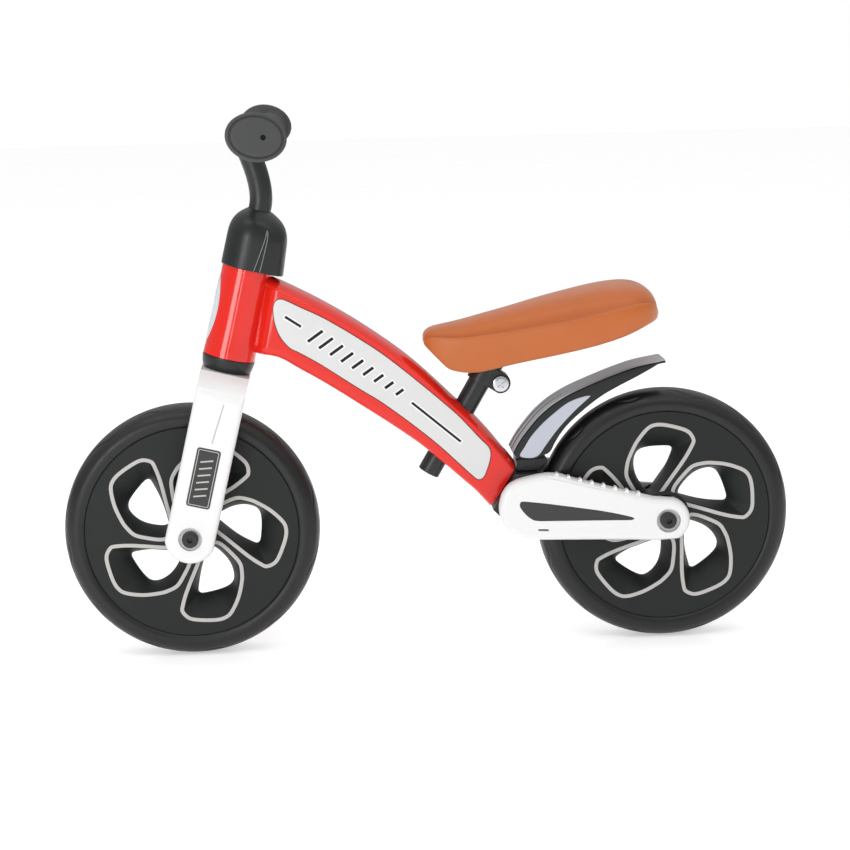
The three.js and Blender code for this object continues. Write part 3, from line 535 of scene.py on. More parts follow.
def wheel_disc(phase):
    outer = curve(PETAL, 8, PETAL_POINTS)
    edge = inset(outer, LINE_WIDTH / 2)
    lip = inset(edge, 1.0)
    waist = matched_waist(lip)
    bm = bmesh.new()
    loops = [turned(edge, phase + PETAL_PITCH * k) for k in range(PETALS)]
    rim = [Vector((DISC_RADIUS * cos(2 * pi * k / 180), DISC_RADIUS * sin(2 * pi * k / 180)))
           for k in range(180)]
    flat, edges = [], []
    for loop in [rim, *loops]:
        first = len(flat)
        flat.extend(loop)
        edges.extend((first + i, first + (i + 1) % len(loop)) for i in range(len(loop)))
    verts, _, faces, *_ = delaunay_2d_cdt(flat, edges, [], 0, 1e-5)
    kept = []
    for face in faces:
        middle = mean(verts, face)
        if middle.length < DISC_RADIUS and not any(inside(middle, loop) for loop in loops):
            kept.append(face)
    for side in (-1, 1):
        row = [bm.verts.new((p.x, side * FACE_Y, p.y)) for p in verts]
        for face in kept:
            bm.faces.new([row[i] for i in (face if side < 0 else face[::-1])])
    layers = [(1 - share ** 1.45, share * (FACE_Y - 1.0))
              for share in (1.0, 0.93, 0.80, 0.62, 0.42, 0.22, 0.08)]
    for k in range(PETALS):
        rings = [[(p.x, -FACE_Y, p.y) for p in loops[k]]]
        mid = inset(edge, 0.3)
        rings.append([(p.x, -FACE_Y + 0.3, p.y) for p in turned(mid, phase + PETAL_PITCH * k)])
        for blend, depth in layers:
            ring = [a.lerp(b, blend) for a, b in zip(lip, waist)]
            rings.append([(p.x, -depth, p.y) for p in turned(ring, phase + PETAL_PITCH * k)])
        mirror = [[(x, -y, z) for x, y, z in ring] for ring in rings[::-1]]
        absorb(bm, skin(rings + mirror, caps=False))
    shoulder = revolve([(DISC_RADIUS, -FACE_Y), (DISC_RADIUS + 0.4, -FACE_Y + 0.5),
                        (DISC_RADIUS + 0.4, FACE_Y - 0.5), (DISC_RADIUS, FACE_Y)], "Y", 180)
    bmesh.ops.delete(shoulder, geom=[f for f in shoulder.faces if len(f.verts) > 4], context="FACES_ONLY")
    absorb(bm, shoulder)
    bmesh.ops.remove_doubles(bm, verts=bm.verts, dist=0.002)
    drop_loose(bm)
    bmesh.ops.recalc_face_normals(bm, faces=bm.faces)
    boss = [(25.2, FACE_Y - 2), (25.2, FACE_Y + 0.3), (24.4, 21.4), (22.6, 22.8), (21.8, 23)]
    boss = revolve([(r, -y) for r, y in boss] + boss[::-1], "Y", 96)
    bore = revolve([(14.3, -40), (14.3, 40)], "Y", 64)
    return minus(union(bm, boss), bore)


def petal_lines(phase, side):
    """Five pale lines round the openings, a little proud of the wheel's face."""
    outer = curve(PETAL, 8, PETAL_POINTS)
    parts = []
    for k in range(PETALS):
        rings = []
        for draw, lift in LINE_SECTION:
            depth = draw * LINE_WIDTH / 2 + (0.1 if draw > 0 else 0)
            ring = turned(inset(outer, depth), phase + PETAL_PITCH * k)
            rings.append([(p.x, side * (FACE_Y + lift), p.y) for p in ring])
        parts.append(skin(rings, closed=True))
    return joined(*parts)


TYRE_SIDE = numbers("""
    105.95,17.5 106,19.2 106.8,20.3 108.6,21.3 111.5,21.95 114.6,21.85 117.4,20.9 120.2,19.1 122.7,16.7
    124.7,13.5 126,9.9 126.75,5.8 127,2""")
TYRE_STEPS = 840
GROOVES = 12


def tyre(first_groove):
    """A foam tyre with shallow wavy grooves cut into both shoulders."""
    half = smooth_loop(TYRE_SIDE, 4, closed=False)
    run = [0.0]
    for a, b in zip(half, half[1:]):
        run.append(run[-1] + (b - a).length)
    radius_run = [(p.x, s) for p, s in zip(half, run) if p.y < 21.2 and p.x > 112]
    table = sorted(radius_run)
    loop = [(p.x, -p.y, s, -1) for p, s in zip(half, run)] + [(p.x, p.y, s, 1) for p, s in
                                                              reversed(list(zip(half, run)))]
    count = len(loop)
    normals = []
    for i in range(count):
        a, b = loop[i - 1], loop[(i + 1) % count]
        n = Vector((b[1] - a[1], a[0] - b[0])).normalized()
        if n.dot(Vector((loop[i][0] - 114, loop[i][1]))) < 0:
            n = -n
        normals.append(n)
    rings = []
    for k in range(TYRE_STEPS):
        angle = 360 * k / TYRE_STEPS
        offset = (angle - first_groove + 180 / GROOVES) % (360 / GROOVES) - 180 / GROOVES
        u = offset / 10.4
        ring = []
        c, s = cos(radians(angle)), sin(radians(angle))
        target = along(table, 123.9 + 1.9 * sin(pi * 0.95 * u)) if abs(u) < 1 else 0
        for (r, y, at, side), n in zip(loop, normals):
            dent = 0.0
            if abs(u) < 1:
                width = 1.0 + 0.6 * (1 - u * u)
                across = abs(at - target) / width
                if across < 1:
                    dent = 0.95 * (1 - across ** 2) ** 1.1 * (1 - u ** 4)
            rr, yy = r - n.x * dent, y - n.y * dent
            ring.append((rr * c, yy, rr * s))
        rings.append(ring)
    return skin(rings, closed=True)


def axle_head(height, seat):
    """A low domed bolt head with a hexagon socket, pointing along -Y from the seat."""
    head = revolve([(8.1, -seat), (8.1, -height + 1.7), (7.9, -height + 0.9), (7.2, -height + 0.25),
                    (6.2, -height)], "Y", 64)
    shank = revolve([(4, -seat + 12), (4, -seat - 1)], "Y", 32)
    socket = revolve([(3.1, -height - 2), (3.1, -height + 3.4)], "Y", 6)
    return minus(union(head, shank), socket)


def wheel(end, x, phase, first_groove):
    at = Matrix.Translation((x, 0, AXLE_Z))
    body = f"{end}_wheel"
    add(f"{end}_tyre_foam", placed(tyre(first_groove), at), FOAM, body, [f"{end}_tyre"], sharp=60,
        weighted=False)
    add(f"{end}_disc", placed(wheel_disc(phase), at), WHEEL, body, [f"{end}_wheel_disc"])
    for name, side in SIDES:
        add(f"{end}_petal_lines_{name}", placed(petal_lines(phase, side), at), LINE, body, sharp=50)
    sleeve = revolve(numbers("""
        11.2,-24 13.2,-24 14,-23.2 14,23.2 13.2,24 11.2,24 11.2,17 9,17 9,-17 11.2,-17"""), "Y", 64,
                     closed=True)
    add(f"{end}_sleeve", placed(sleeve, at), BRIGHT, body, [f"{end}_hub_sleeve"])


# ---- frame ----
BEAM_TOP = numbers("""
    -176,383 -160,380.3 -150,378.2 -143.4,375.4 -121.2,364.1 -101.9,353.6 -82.6,342.1 -63.2,329.6
    -43.8,316 -24.4,301.4 -4.9,284.7 14.6,265.9 29.3,251.3 49,232.4 63.7,215.6 73.6,203 81.5,193.5
    87.4,185.1""")
BEAM_BOTTOM = numbers("""
    -188,308 -174,304.8 -161,302.3 -143.3,298.2 -124,286.6 -104.6,274.9 -85.1,262.2 -65.6,248.9
    -46.1,235.6 -26.5,221.7 -6.8,206.8 12.9,189.7 32.6,171.6 47.5,157.7 60.4,142.8""")
HEAD_PROFILE = numbers("""
    26,178.1 25.8,184 25.4,191 25.1,199 24.9,209 24.8,219 24.7,230 24.6,241 24.6,252 24.7,261 24.7,267.3""")
# half of the beam's section: (half width, distance down from the top edge), with a ridge where the
# side panel starts, and then (half width, distance up from the bottom edge)
BEAM_SHOULDER = numbers("""
    0,0 5,0.12 9.5,0.5 13.5,1.3 17,2.5 19.8,4 21.9,5.6 23.1,6.8 23.5,7.6 23.35,8.2 22.8,8.7 22.6,9.6""")
BEAM_FOOT = numbers("22.6,9 22.3,6.2 21.6,4 20.2,2.1 17.8,0.8 14.5,0.15 8,0 0,0")


def ease(share):
    """0 to 1, with a soft start and end."""
    share = min(1.0, max(0.0, share))
    return share * share * (3 - 2 * share)


def steering_t(x, z):
    """How far behind the steering axis a point in the middle plane lies."""
    rake = radians(RAKE)
    return (x - FRONT_X) * cos(rake) - (z - AXLE_Z) * sin(rake)


def beam():
    """The curved main beam, pinched where it leaves the head tube; stations are closest there."""
    fine, stations = 600, 150
    tops = curve(BEAM_TOP, 6, fine, closed=False)
    bottoms = curve(BEAM_BOTTOM, 6, fine, closed=False)
    rings = []
    for i in range(stations):
        at = round((fine - 1) * (i / (stations - 1)) ** 1.35)
        t, b = tops[at], bottoms[at]
        down = b - t
        height = down.length
        down.normalize()
        tail = max(0.0, (at / (fine - 1) - 0.965) / 0.035)
        bulge = tail * 9.0
        ring = []
        half = BEAM_SHOULDER + [(y, height - d) for y, d in BEAM_FOOT]
        for y, d in half + [(-y, d) for y, d in half[-2:0:-1]]:
            share = d / height
            q = t + down * d + Vector((-down.y, down.x)) * bulge * share * (1 - share)
            flare = ease((steering_t(q.x, q.y) - 20.5) / 13.5)
            width = (0.56 + 0.44 * flare) * (1 - 0.03 * tail * tail)
            ring.append((q.x, y * width, q.y))
        rings.append(ring)
    return skin(rings)


def build_frame():
    head = placed(revolve(curve(HEAD_PROFILE, 8, 44, closed=False), "Z", 128), STEERING)
    bore = placed(revolve([(15.5, 100), (15.5, 300)], "Z", 64), STEERING)
    post_hole = placed(revolve([(11.7, -30), (11.7, 130)], "Z", 64), POST)
    solid = minus(union(beam(), head), bore, post_hole)
    surface = solid.copy()
    add("frame_shell", solid, RED, "chassis", ["frame"], sharp=26)
    return surface


DECAL = numbers("""
    -142.6,356.8 -146.7,352.1 -147.5,342.3 -145.6,330.5 -141.1,319.6 -132.7,309.4 -123.2,304.2 -104,292.7
    -84.9,279.7 -65.7,266.6 -46.4,254 -27.1,239.4 -7.7,223.7 11.7,206.9 31.2,188 46,173.6 50.6,171.4
    54.2,173.4 56.8,178 61.1,191 61.6,199.5 58.9,205 51.5,212.6 32.1,234.4 12.7,252.6 -6.6,269.7
    -25.8,286.2 -45,301.7 -64.2,315.1 -83.4,327.6 -102.5,339 -121.6,348.4 -135.9,355.7""")
FIRST_DASH = [(-136.5, 340.0), (-121.3, 329.7)]
LAST_DASH = [(-14.9, 251.0), (32.6, 210.2)]
# the row of plain slanted bars between the dashes, as (from, to) along the middle line
BARS_FROM, BARS_TO = Vector((-108, 319.5)), Vector((-27, 261.5))
EDGE_LIFT, PANEL_LIFT, HALO_LIFT, INK_LIFT = 0.22, 0.44, 0.54, 0.64
HALO = 1.3  # how far the pale border of a mark reaches past it


def stroke(a, b, width):
    """A bar with square ends between two points."""
    a, b = Vector(a), Vector(b)
    ahead = (b - a).normalized()
    side = Vector((-ahead.y, ahead.x)) * width / 2
    return [a + side, a - side, b - side, b + side]


def slanted_bars():
    """Nine plain slanted bars that shorten towards the rear."""
    ahead = (BARS_TO - BARS_FROM).normalized()
    up = Vector((-ahead.y, ahead.x))
    made = []
    for k in range(9):
        middle = BARS_FROM.lerp(BARS_TO, k / 8) + up * 0.5
        reach = 9.0 - 0.55 * k
        lean = (up * 0.94 + ahead * 0.34).normalized() * reach
        made.append((middle - lean, middle + lean))
    return made


def longer(a, b, extra):
    """The two ends of a line, each moved out by extra."""
    a, b = Vector(a), Vector(b)
    ahead = (b - a).normalized() * extra
    return a - ahead, b + ahead


def frame_decals(surface):
    tree = BVHTree.FromBMesh(surface)
    loop = curve(DECAL, 5, 200)
    marks = [(*FIRST_DASH, 2.6), (*LAST_DASH, 2.4)] + [(a, b, 3.0) for a, b in slanted_bars()]
    for name, side in SIDES:
        add(f"decal_edge_{name}", film(inset(loop, -0.9), tree, side, EDGE_LIFT), DARK_RED, "chassis")
        add(f"decal_{name}", film(loop, tree, side, PANEL_LIFT), SILVER, "chassis")
        halo = [film(stroke(*longer(a, b, HALO), w + 2 * HALO), tree, side, HALO_LIFT, step=3)
                for a, b, w in marks]
        ink = [film(stroke(a, b, w), tree, side, INK_LIFT, step=3) for a, b, w in marks]
        add(f"decal_halo_{name}", joined(*halo), WHITE_PRINT, "chassis")
        add(f"decal_marks_{name}", joined(*ink), BLACK_PRINT_AND_SHADE, "chassis")


BADGE_S, BADGE_RINGS, BADGE_POINTS = 222.5, 10, 72
HEAD_RADIUS = [(s, r) for r, s in HEAD_PROFILE]


def badge_patch(half_y, half_s, low, dome):
    """A domed oval on the front of the head tube, with a thin rim behind it."""
    rows = []
    for i in range(1, BADGE_RINGS + 1):
        rho = i / BADGE_RINGS
        row = []
        for k in range(BADGE_POINTS):
            a = 2 * pi * k / BADGE_POINTS
            y, s = half_y * rho * cos(a), BADGE_S + half_s * rho * sin(a)
            r = along(HEAD_RADIUS, s) + low + dome * sqrt(max(0, 1 - rho ** 4))
            row.append((-sqrt(r * r - y * y), y, s))
        rows.append(row)
    return placed(skin(rows + [[(t + 0.9, y, s) for t, y, s in rows[-1]]]), STEERING)


def head_badge():
    add("badge_rim", badge_patch(14.6, 34.5, 0.05, 0.55), SILVER, "chassis", ["head_badge"])
    add("badge_dome", badge_patch(13.0, 32.6, 0.25, 0.85), BADGE, "chassis")
    add("badge_oval", badge_patch(8.0, 22.0, 0.75, 0.60), WHITE_PRINT, "chassis")


# ---- fork and stem ----
def build_fork():
    side_view = ([(24.2, 166), (24.2, 60), (24.2, 6)] + arc(0, 0, 25.3, -16, -164, 40)
                 + [(-24.2, 6), (-24.2, 60), (-24.2, 166)])
    outer = slab(side_view[::-1], -50, 50, 5.5, 5.5, 8)
    front = numbers("""
        -60,-30 -34,-30 -34,122 -31.5,131 -24,137 -12,139.4 0,140 12,139.4 24,137 31.5,131 34,122 34,-30
        60,-30 60,138 50.2,138 49.4,143.5 46.6,149.5 42,154.8 36.5,159.3 31.5,162.4 29,164 -29,164
        -31.5,162.4 -36.5,159.3 -42,154.8 -46.6,149.5 -49.4,143.5 -50.2,138 -60,138""")
    arch = slab(front, -40, 40, plane="YZ")
    recesses = [revolve([(11.6, low), (11.6, high)], "Y", 72) for low, high in ((-60, -46), (46, 60))]
    hole = revolve([(4.6, -60), (4.6, 60)], "Y", 32)
    steerer = revolve([(13, 100), (13, 200)], "Z", 48)
    solid = minus(common(outer, arch), *recesses, hole, steerer)
    surface = placed(solid, STEERING).copy()
    add("fork_moulding", solid, WHITE, "steering", ["fork"], sharp=30)
    return surface


def fork_plaque(surface):
    """A dark plaque with a pale border and six plain bars, and one thin rule above it."""
    tree = BVHTree.FromBMesh(surface)
    plate = rounded([(-11.2, 92.2, 3), (-11.2, 33.0, 3), (12.2, 33.0, 3), (12.2, 92.2, 3)], 5)
    border = inset(plate, 1.6)
    bars = [((-5.6, 43 + 7.0 * k), (6.4, 46.5 + 7.0 * k)) for k in range(6)]
    for name, side in SIDES:
        add(f"plaque_{name}", film(plate, tree, side, 0.35, transform=STEERING), INLAY, "steering")
        lines = [film(stroke(a, b, 1.5), tree, side, 0.48, step=4, transform=STEERING) for a, b in bars]
        rim = film_ring(border, inset(border, 0.7), tree, side, 0.48, STEERING)
        add(f"plaque_print_{name}", joined(rim, *lines), LINE, "steering")
        rule = film(stroke((1.6, 98), (5.2, 138), 1.1), tree, side, 0.3, step=4, transform=STEERING)
        add(f"leg_rule_{name}", rule, LINE, "steering")


def film_ring(outer, inner, tree, side, lift, transform):
    """A thin closed line between two outlines of equal count."""
    def row(points, height):
        hits = [cast(tree, p, side, transform) for p in points]
        return [hit - aim * height for hit, aim in hits]
    return skin([row(outer, lift), row(inner, lift), row(inner, lift - 0.3), row(outer, lift - 0.3)],
                closed=True)


def crown_ring():
    profile = numbers("""
        13.2,164.3 21.8,164.3 22.8,164.7 24,166.4 25,169.3 25.7,173 26.1,176.4 26,177.4 25.4,177.8
        21.5,177.8 21.5,175.3 13.2,175.3""")
    add("crown_collar", placed(revolve(profile, "Z", 112, closed=True), STEERING), BLACK, "steering",
        ["crown_ring"])


# (height, front radius, rear reach, squareness of the rear half)
COVER = numbers("""
    267.6,26.3,35.7,3.6 276,26.35,35,3.6 288,26.35,34,3.6 298,26.3,33.1,3.5 304,25.9,32,3.3
    309,24.9,30.2,3.1 313.5,23.2,27.7,2.9 317.5,20.7,24.2,2.7 320.8,17.7,20.2,2.4 323.4,14.6,16,2.2
    325,12.6,13.2,2 325.4,11.9,12.1,2""")


def cover_ring(s, front, rear, square, draw):
    """Round in front and squared off behind."""
    ring = []
    for k in range(1024):
        a = 2 * pi * k / 1024
        c, n = cos(a), sin(a)
        if c <= 0:
            t, y = (front - draw) * c, (front - draw) * n
        else:
            t = (rear - draw) * abs(c) ** (2 / square)
            y = (front - draw) * copysign(abs(n) ** (2 / square), n)
        ring.append((t, y, s))
    return resample(ring, 144)


def stem_cover():
    stations = smooth_loop(COVER, 4, closed=False)
    outer = [cover_ring(*row, 0) for row in stations]
    outer[0] = cover_ring(267.6, 25.9, 35.3, 3.6, 0)
    outer.insert(1, cover_ring(268.1, 26.3, 35.65, 3.6, 0))
    hollow = [cover_ring(255, 26.3, 35.6, 3.6, 2.4)]
    hollow += [cover_ring(s - 2.2, front, rear, square, 2.4) for s, front, rear, square in COVER[1:-2]]
    groove = numbers("6.3,255 11.5,301.6 9.6,316 11,316 13.6,302.1 12.6,255")
    cutters = [slab(groove, -60, -24.9), slab(groove, 24.9, 60)]
    hole = revolve([(11.6, 300), (11.6, 340)], "Z", 72)
    solid = minus(skin(outer), *cutters, skin(hollow), hole)
    add("stem_cover_shell", placed(solid, STEERING), BLACK, "steering", ["stem_cover"], sharp=30)
    # thin ridges along both edges of each side groove, coloured pale grey as a painted highlight on the
    # rounded edges
    edges = []
    for y in (-26.15, 26.15):
        for line in ([(6.8, 268.2), (9.4, 286), (11.4, 301.6), (11.0, 309)],
                     [(12.7, 268.2), (13.3, 286), (13.5, 302.1), (11.8, 310)]):
            path = smooth_loop([Vector((t, y * (1 - 0.0016 * max(0, s - 300)), s)) for t, s in line], 5,
                               closed=False)
            edges.append(sweep(path, lambda share: 0.42 if share < 0.9 else 0.25, 10))
    add("stem_cover_painted_highlights", placed(joined(*edges), STEERING), PAINTED_HIGHLIGHT, "steering")


# ---- handlebar and grips ----
BAR_CENTRE = STEERING @ Vector((-27, 0, 385))
BAR_BEND_Y, BAR_HALF = 42.0, 183.0
GRIP_END = Vector((-146.7, BAR_HALF, 518.8))


def bezier(a, b, c, steps):
    return [Vector(a) * (1 - u) ** 2 + Vector(b) * 2 * u * (1 - u) + Vector(c) * u * u
            for u in (k / steps for k in range(steps + 1))]


def bar_bend(side):
    return Vector((BAR_CENTRE.x, side * BAR_BEND_Y, BAR_CENTRE.z))


def bar_end(side):
    return Vector((GRIP_END.x, side * GRIP_END.y, GRIP_END.z))


def bar_path(half):
    """The bar's middle line, cut off at half its length to each side."""
    share = (half - BAR_BEND_Y) / (BAR_HALF - BAR_BEND_Y)
    left, right = bar_bend(-1), bar_bend(1)
    inner = [Vector((BAR_CENTRE.x, s * 20, BAR_CENTRE.z)) for s in (-1, 1)]
    path = [left.lerp(bar_end(-1), share * k / 12) for k in range(12, 0, -1) if share * k / 12 > 0.17]
    path += bezier(left.lerp(bar_end(-1), 0.16), left, inner[0], 14)
    path += bezier(inner[1], right, right.lerp(bar_end(1), 0.16), 14)
    path += [right.lerp(bar_end(1), share * k / 12) for k in range(1, 13) if share * k / 12 > 0.17]
    return path


def handlebar():
    def at(t, s):
        return STEERING @ Vector((t, 0, s))
    straight = [at(0, s) for s in (205, 240, 280, 310, 326)]
    riser = straight + bezier(at(0, 328), at(0, 350), at(-27, 385), 24)
    tube = union(sweep(riser, 11.1, 56), sweep(bar_path(178), 11.1, 56))
    add("handlebar_tube", tube, STEEL, "handlebar_unit", ["handlebar"], sharp=40)


# (inset, height) of the grip's end disc, whose half length is GUARD_REACH
GUARD_REACH = 27.5
GUARD_LAYERS = numbers("""
    3.2,-7 1.5,-6.8 0.5,-6.2 0,-5.2 0,-3.4 0.4,-2.5 1.2,-1.9 2.4,-1.7 2.8,-1.9 3.2,-2.7 3.9,-2.8 4.4,-2.3
    4.8,-1.3 5.5,-0.75 6.6,-0.5 12,-0.35""")


def oval(cx, cy, a, b, z, count=96):
    return [(cx + a * cos(2 * pi * k / count), cy + b * sin(2 * pi * k / count), z)
            for k in range(count)]


def grip(name, side):
    profile = [(14.0, -98), (14.9, -97.2), (15.3, -95.5), (15.3, -92)]
    for k in range(9):
        z = -88 + 8.4 * k
        profile += [(15.2, z), (15.0, z + 0.4), (14.1, z + 1.0), (14.1, z + 2.0), (15.0, z + 2.6),
                    (15.2, z + 3.0)]
    profile += [(15.3, -10), (15.9, -8.6), (17.5, -6.6), (17.5, -3)]
    sleeve = revolve(profile, "Z", 72)
    cx, cy = -5.9, 0.3 * side
    guard = skin([oval(cx, cy, GUARD_REACH - draw - 0.06, GUARD_REACH - draw - 5.76, z)
                  for draw, z in GUARD_LAYERS])
    hollow = revolve([(11.4, -120), (11.4, -4.2)], "Z", 56)
    vent = revolve([(2.5, -20), (2.5, 10)], "Z", 40)
    body = minus(union(sleeve, guard), hollow, vent)
    end = bar_end(side)
    outward = (end - bar_bend(side)).normalized()
    turn = Vector((0, 0, 1)).rotation_difference(outward).to_matrix().to_4x4()
    add(f"grip_rubber_{name}", placed(body, Matrix.Translation(end) @ turn), RUBBER, "handlebar_unit",
        [f"grip_{name}"], sharp=42)


# ---- saddle ----
# (x, top, bottom, half width, drop from the crown to the crease)
PAD = numbers("""
    -1.6,314,309,9,2.5 -0.5,317.4,306,14.5,3.8 3.5,321.3,301.6,19,5.2 9,323.4,295.8,22.5,6.6
    16,324.9,288.6,25.6,8.4 22,326,283.2,27.4,9.7 29,327.4,280.8,29.4,11.2 40,329.8,279.2,31.8,13
    54,333.4,280,34.6,15 74,338.3,284.6,38.6,17.2 92,342.9,288.8,42.4,19 114,348.8,293.4,47.4,21
    136,353.9,298.2,52.4,22.2 158,358.6,303.4,57,22 177,361.8,308.8,60.2,20.4 194,363.2,314.6,61.4,17.6
    207,362.4,320.2,59.4,14.6 216.5,359.2,324.4,54.5,12 223.2,353.8,326.8,47,9.6 227.2,347,329,38.5,7.2
    229.2,339,331.6,29,4""")


def base_low(x):
    return 290.3 + (x - 44) * 0.215


BOARD = numbers("28,17 60,23 120,36 180,46 208,42")


# across the pad: (share of the half width, share of the drop) on top, (share, height) at the crease
PAD_CROWN = numbers("0,0 0.18,0.015 0.36,0.06 0.52,0.15 0.65,0.3 0.745,0.5 0.8,0.74")
PAD_RIDGE = numbers("0.832,0.6 0.856,-2.3 0.886,-3.1 0.925,-2.2 0.958,-1 0.986,-1.9")


def pad_section(x, top, bottom, half, drop):
    crease = top - drop
    board = along(BOARD, x) if 30 < x < 206 else 0
    side = crease - bottom
    rows = [(u * half, top - v * drop) for u, v in PAD_CROWN]
    rows += [(u * half, crease + v) for u, v in PAD_RIDGE]
    rows += [(half, crease - 0.16 * side - 2.0), (0.998 * half, crease - 0.42 * side),
             (0.975 * half, crease - 0.68 * side), (0.94 * half, bottom + 0.14 * side),
             (0.915 * half, bottom + 0.05 * side), (0.875 * half, bottom), (0.83 * half, bottom + 0.3)]
    under = max(bottom + 0.6, base_low(x) + 2.0) if board else bottom + 0.6
    wall = min(0.79 * half, board + 2.5) if board else 0.74 * half
    rows += [(min(0.79 * half, wall + 1.6), bottom + 1.2), (wall, bottom + 2.2 if board else bottom + 0.8),
             (wall - 0.6, under - 0.8), (wall - 2.4, under), (0.3 * half, under), (0, under)]
    ring = [(x, y, z) for y, z in rows]
    return ring + [(x, -y, z) for x, y, z in ring[-2:0:-1]]


def pad_rows():
    """The measured stations, filled in by a smooth curve through each column."""
    a = smooth_loop([row[:3] for row in PAD], 3, closed=False)
    b = smooth_loop([(row[0], *row[3:]) for row in PAD], 3, closed=False)
    return [pad_section(p.x, p.y, p.z, q.y, q.z) for p, q in zip(a, b)]


def saddle():
    bm = skin(pad_rows())
    bmesh.ops.smooth_vert(bm, verts=bm.verts, factor=0.25, use_axis_x=True, use_axis_y=True,
                          use_axis_z=True)
    pad = add("saddle_cushion", bm, TAN, "saddle", ["saddle_pad"], sharp=70, weighted=False)
    detail = pad.modifiers.new("detail", "SUBSURF")
    detail.levels = detail.render_levels = 1


CLAMP_X, CLAMP_HEIGHT = 17.8, 114.3


def seat_clamp():
    def skin_point(x, drop):
        return (x, base_low(x) - 0.3 - drop)
    flange = slab([skin_point(x, drop) for x, drop in ((44, 3), (97, 3), (97, 0), (44, 0))],
                  -15, 15, 1, 1, 3)
    collar = placed(revolve([(13.2, 104.6), (13.7, 105.4), (13.7, 150)], "Z", 72), POST)
    eye = [(4, 105)] + arc(CLAMP_X, CLAMP_HEIGHT, 10.2, -75, 75, 28) + [(4, 126)]
    ears = placed(slab(eye, -12, 12, 1.4, 1.4, 4), POST)
    above = slab([skin_point(10, 1), skin_point(130, 1), (130, 400), (10, 400)], -40, 40)
    bore = placed(revolve([(11.4, 60), (11.4, 123)], "Z", 56), POST)
    slit = placed(slab([(9, 65), (39, 65), (39, 125), (9, 125)], -1.5, 1.5), POST)
    hole = placed(cylinder_y(3.3, -30, 30, CLAMP_X, CLAMP_HEIGHT, 32), POST)
    trimmed = minus(collar, above)
    body = minus(union(trimmed, flange, ears), bore, slit, hole)
    add("seat_clamp_body", body, STEEL, "saddle", ["seat_clamp"], sharp=34)
    head = revolve(numbers("8,-12.3 8,-14.3 7.6,-15.1 6.6,-15.5 4.2,-15.7"), "Y", 64)
    shank = revolve([(3, 16), (3, -13)], "Y", 32)
    cross = [slab([(-4.6, -0.75), (4.6, -0.75), (4.6, 0.75), (-4.6, 0.75)], -20, -13.9),
             slab([(-0.75, -4.6), (0.75, -4.6), (0.75, 4.6), (-0.75, 4.6)], -20, -13.9)]
    screw = minus(union(head, shank), *cross)
    at = POST @ Matrix.Translation((CLAMP_X, 0, CLAMP_HEIGHT)) @ Matrix.Rotation(radians(24), 4, "Y")
    add("seat_clamp_screw", placed(screw, at), BRIGHT, "saddle", ["seat_clamp_bolt"], sharp=30)
    post = revolve(numbers("9.6,0.4 10.6,0 11.1,0.6 11.1,121.6 10.6,122 9.6,121.8"), "Z", 72,
                   closed=True)
    add("seat_post_tube", placed(post, POST), STEEL, "saddle", ["seat_post"], sharp=40)


# ---- rear stays ----
STAY = numbers("""
    68.2,147 68.4,140 70.4,131.6 75.1,123.6 82.9,117.2 92.8,113.2 107.7,111.2 130,110.2 167.5,109
    200,107.7 226,106.2""")
STAY_TOP = numbers("""
    222,150.6 190,159.4 165,166.2 143.2,172.4 134,175.6 126.4,177.6 113.5,178 98.7,175.6 85.8,172.2
    76.8,166.6 70.8,158""")
STAY_INLAY = numbers("""
    88.4,146.5 92,140.8 97.8,135 104.7,131.7 120,131 167.4,129.9 196,129.1 200.5,129.4 202.3,130.3
    199.5,132.2 185,136.2 167.5,140 142,144.4 117.9,148.4 98.1,151.2 91.1,151.9 88.6,150.6""")
RIBS, RIB_FIRST, RIB_PITCH = 8, 126.0, 11.6


def stay_outline():
    lower = smooth_loop(STAY, 5, closed=False)
    upper = smooth_loop(STAY_TOP, 5, closed=False)
    return resample(lower + arc(REAR_X, AXLE_Z, 22.4, -62, 76, 22) + upper, 220)


def stay_cover(name, side):
    outline = stay_outline()
    layers = numbers("0.4,32.3 0,32.8 0,37 0.5,39.6 1.6,41.8 3.1,43.2 4.8,43.9 6.2,44")
    body = skin([[(p.x, -y, p.y) for p in inset(outline, draw)] for draw, y in layers])
    ribs = []
    for k in range(RIBS):
        x = RIB_FIRST + RIB_PITCH * k
        z = 176.2 - (x - 132) * 0.272
        tooth = [(x - 5.2, z - 3.2), (x + 1.4, z - 6.5), (x + 1.7, z - 1.0), (x + 1.0, z + 1.0),
                 (x - 0.6, z + 1.2)]
        ribs.append(slab(tooth, -41.6, -34, 0.5, 0.5, 3))
    inlay_loop = curve(STAY_INLAY, 5, 130)
    pocket = slab(inlay_loop, -60, -42.2)
    recess = cylinder_y(12, -60, -38.4, REAR_X, AXLE_Z, 72)
    hole = cylinder_y(4.6, -60, 0, REAR_X, AXLE_Z, 32)
    slot = slab(rounded(numbers("106.2,121.3,0.7 116.8,120.8,0.7 116.8,122.9,0.7 106.2,123.4,0.7"), 3),
                -60, -42.6)
    step = slab(numbers("""
        100,179.5 112,175.6 124,172.4 167.9,161.2 205,152.2 219,149.4 229,153 229,195 100,195"""),
                -60, -42.6)
    shell = minus(union(minus(body, step), *ribs), pocket, recess, hole, slot)
    inlay = slab(inset(inlay_loop, 0.25), -43.7, -42.15, 0.6, 0, 4)
    # a black sheet on the floor of the shallow slot: painted shade inside the slot
    slot_shade = slab([(106.8, 121.8), (116.2, 121.3), (116.2, 122.4), (106.8, 122.9)], -43.2, -42.5)
    if side > 0:
        slot_shade, shell, inlay = mirrored(slot_shade), mirrored(shell), mirrored(inlay)
    add(f"stay_slot_shade_{name}", slot_shade, BLACK_PRINT_AND_SHADE, "chassis")
    add(f"stay_moulding_{name}", shell, WHITE, "chassis", [f"stay_cover_{name}"], sharp=30)
    add(f"stay_insert_{name}", inlay, INLAY, "chassis", [f"stay_inlay_{name}"])


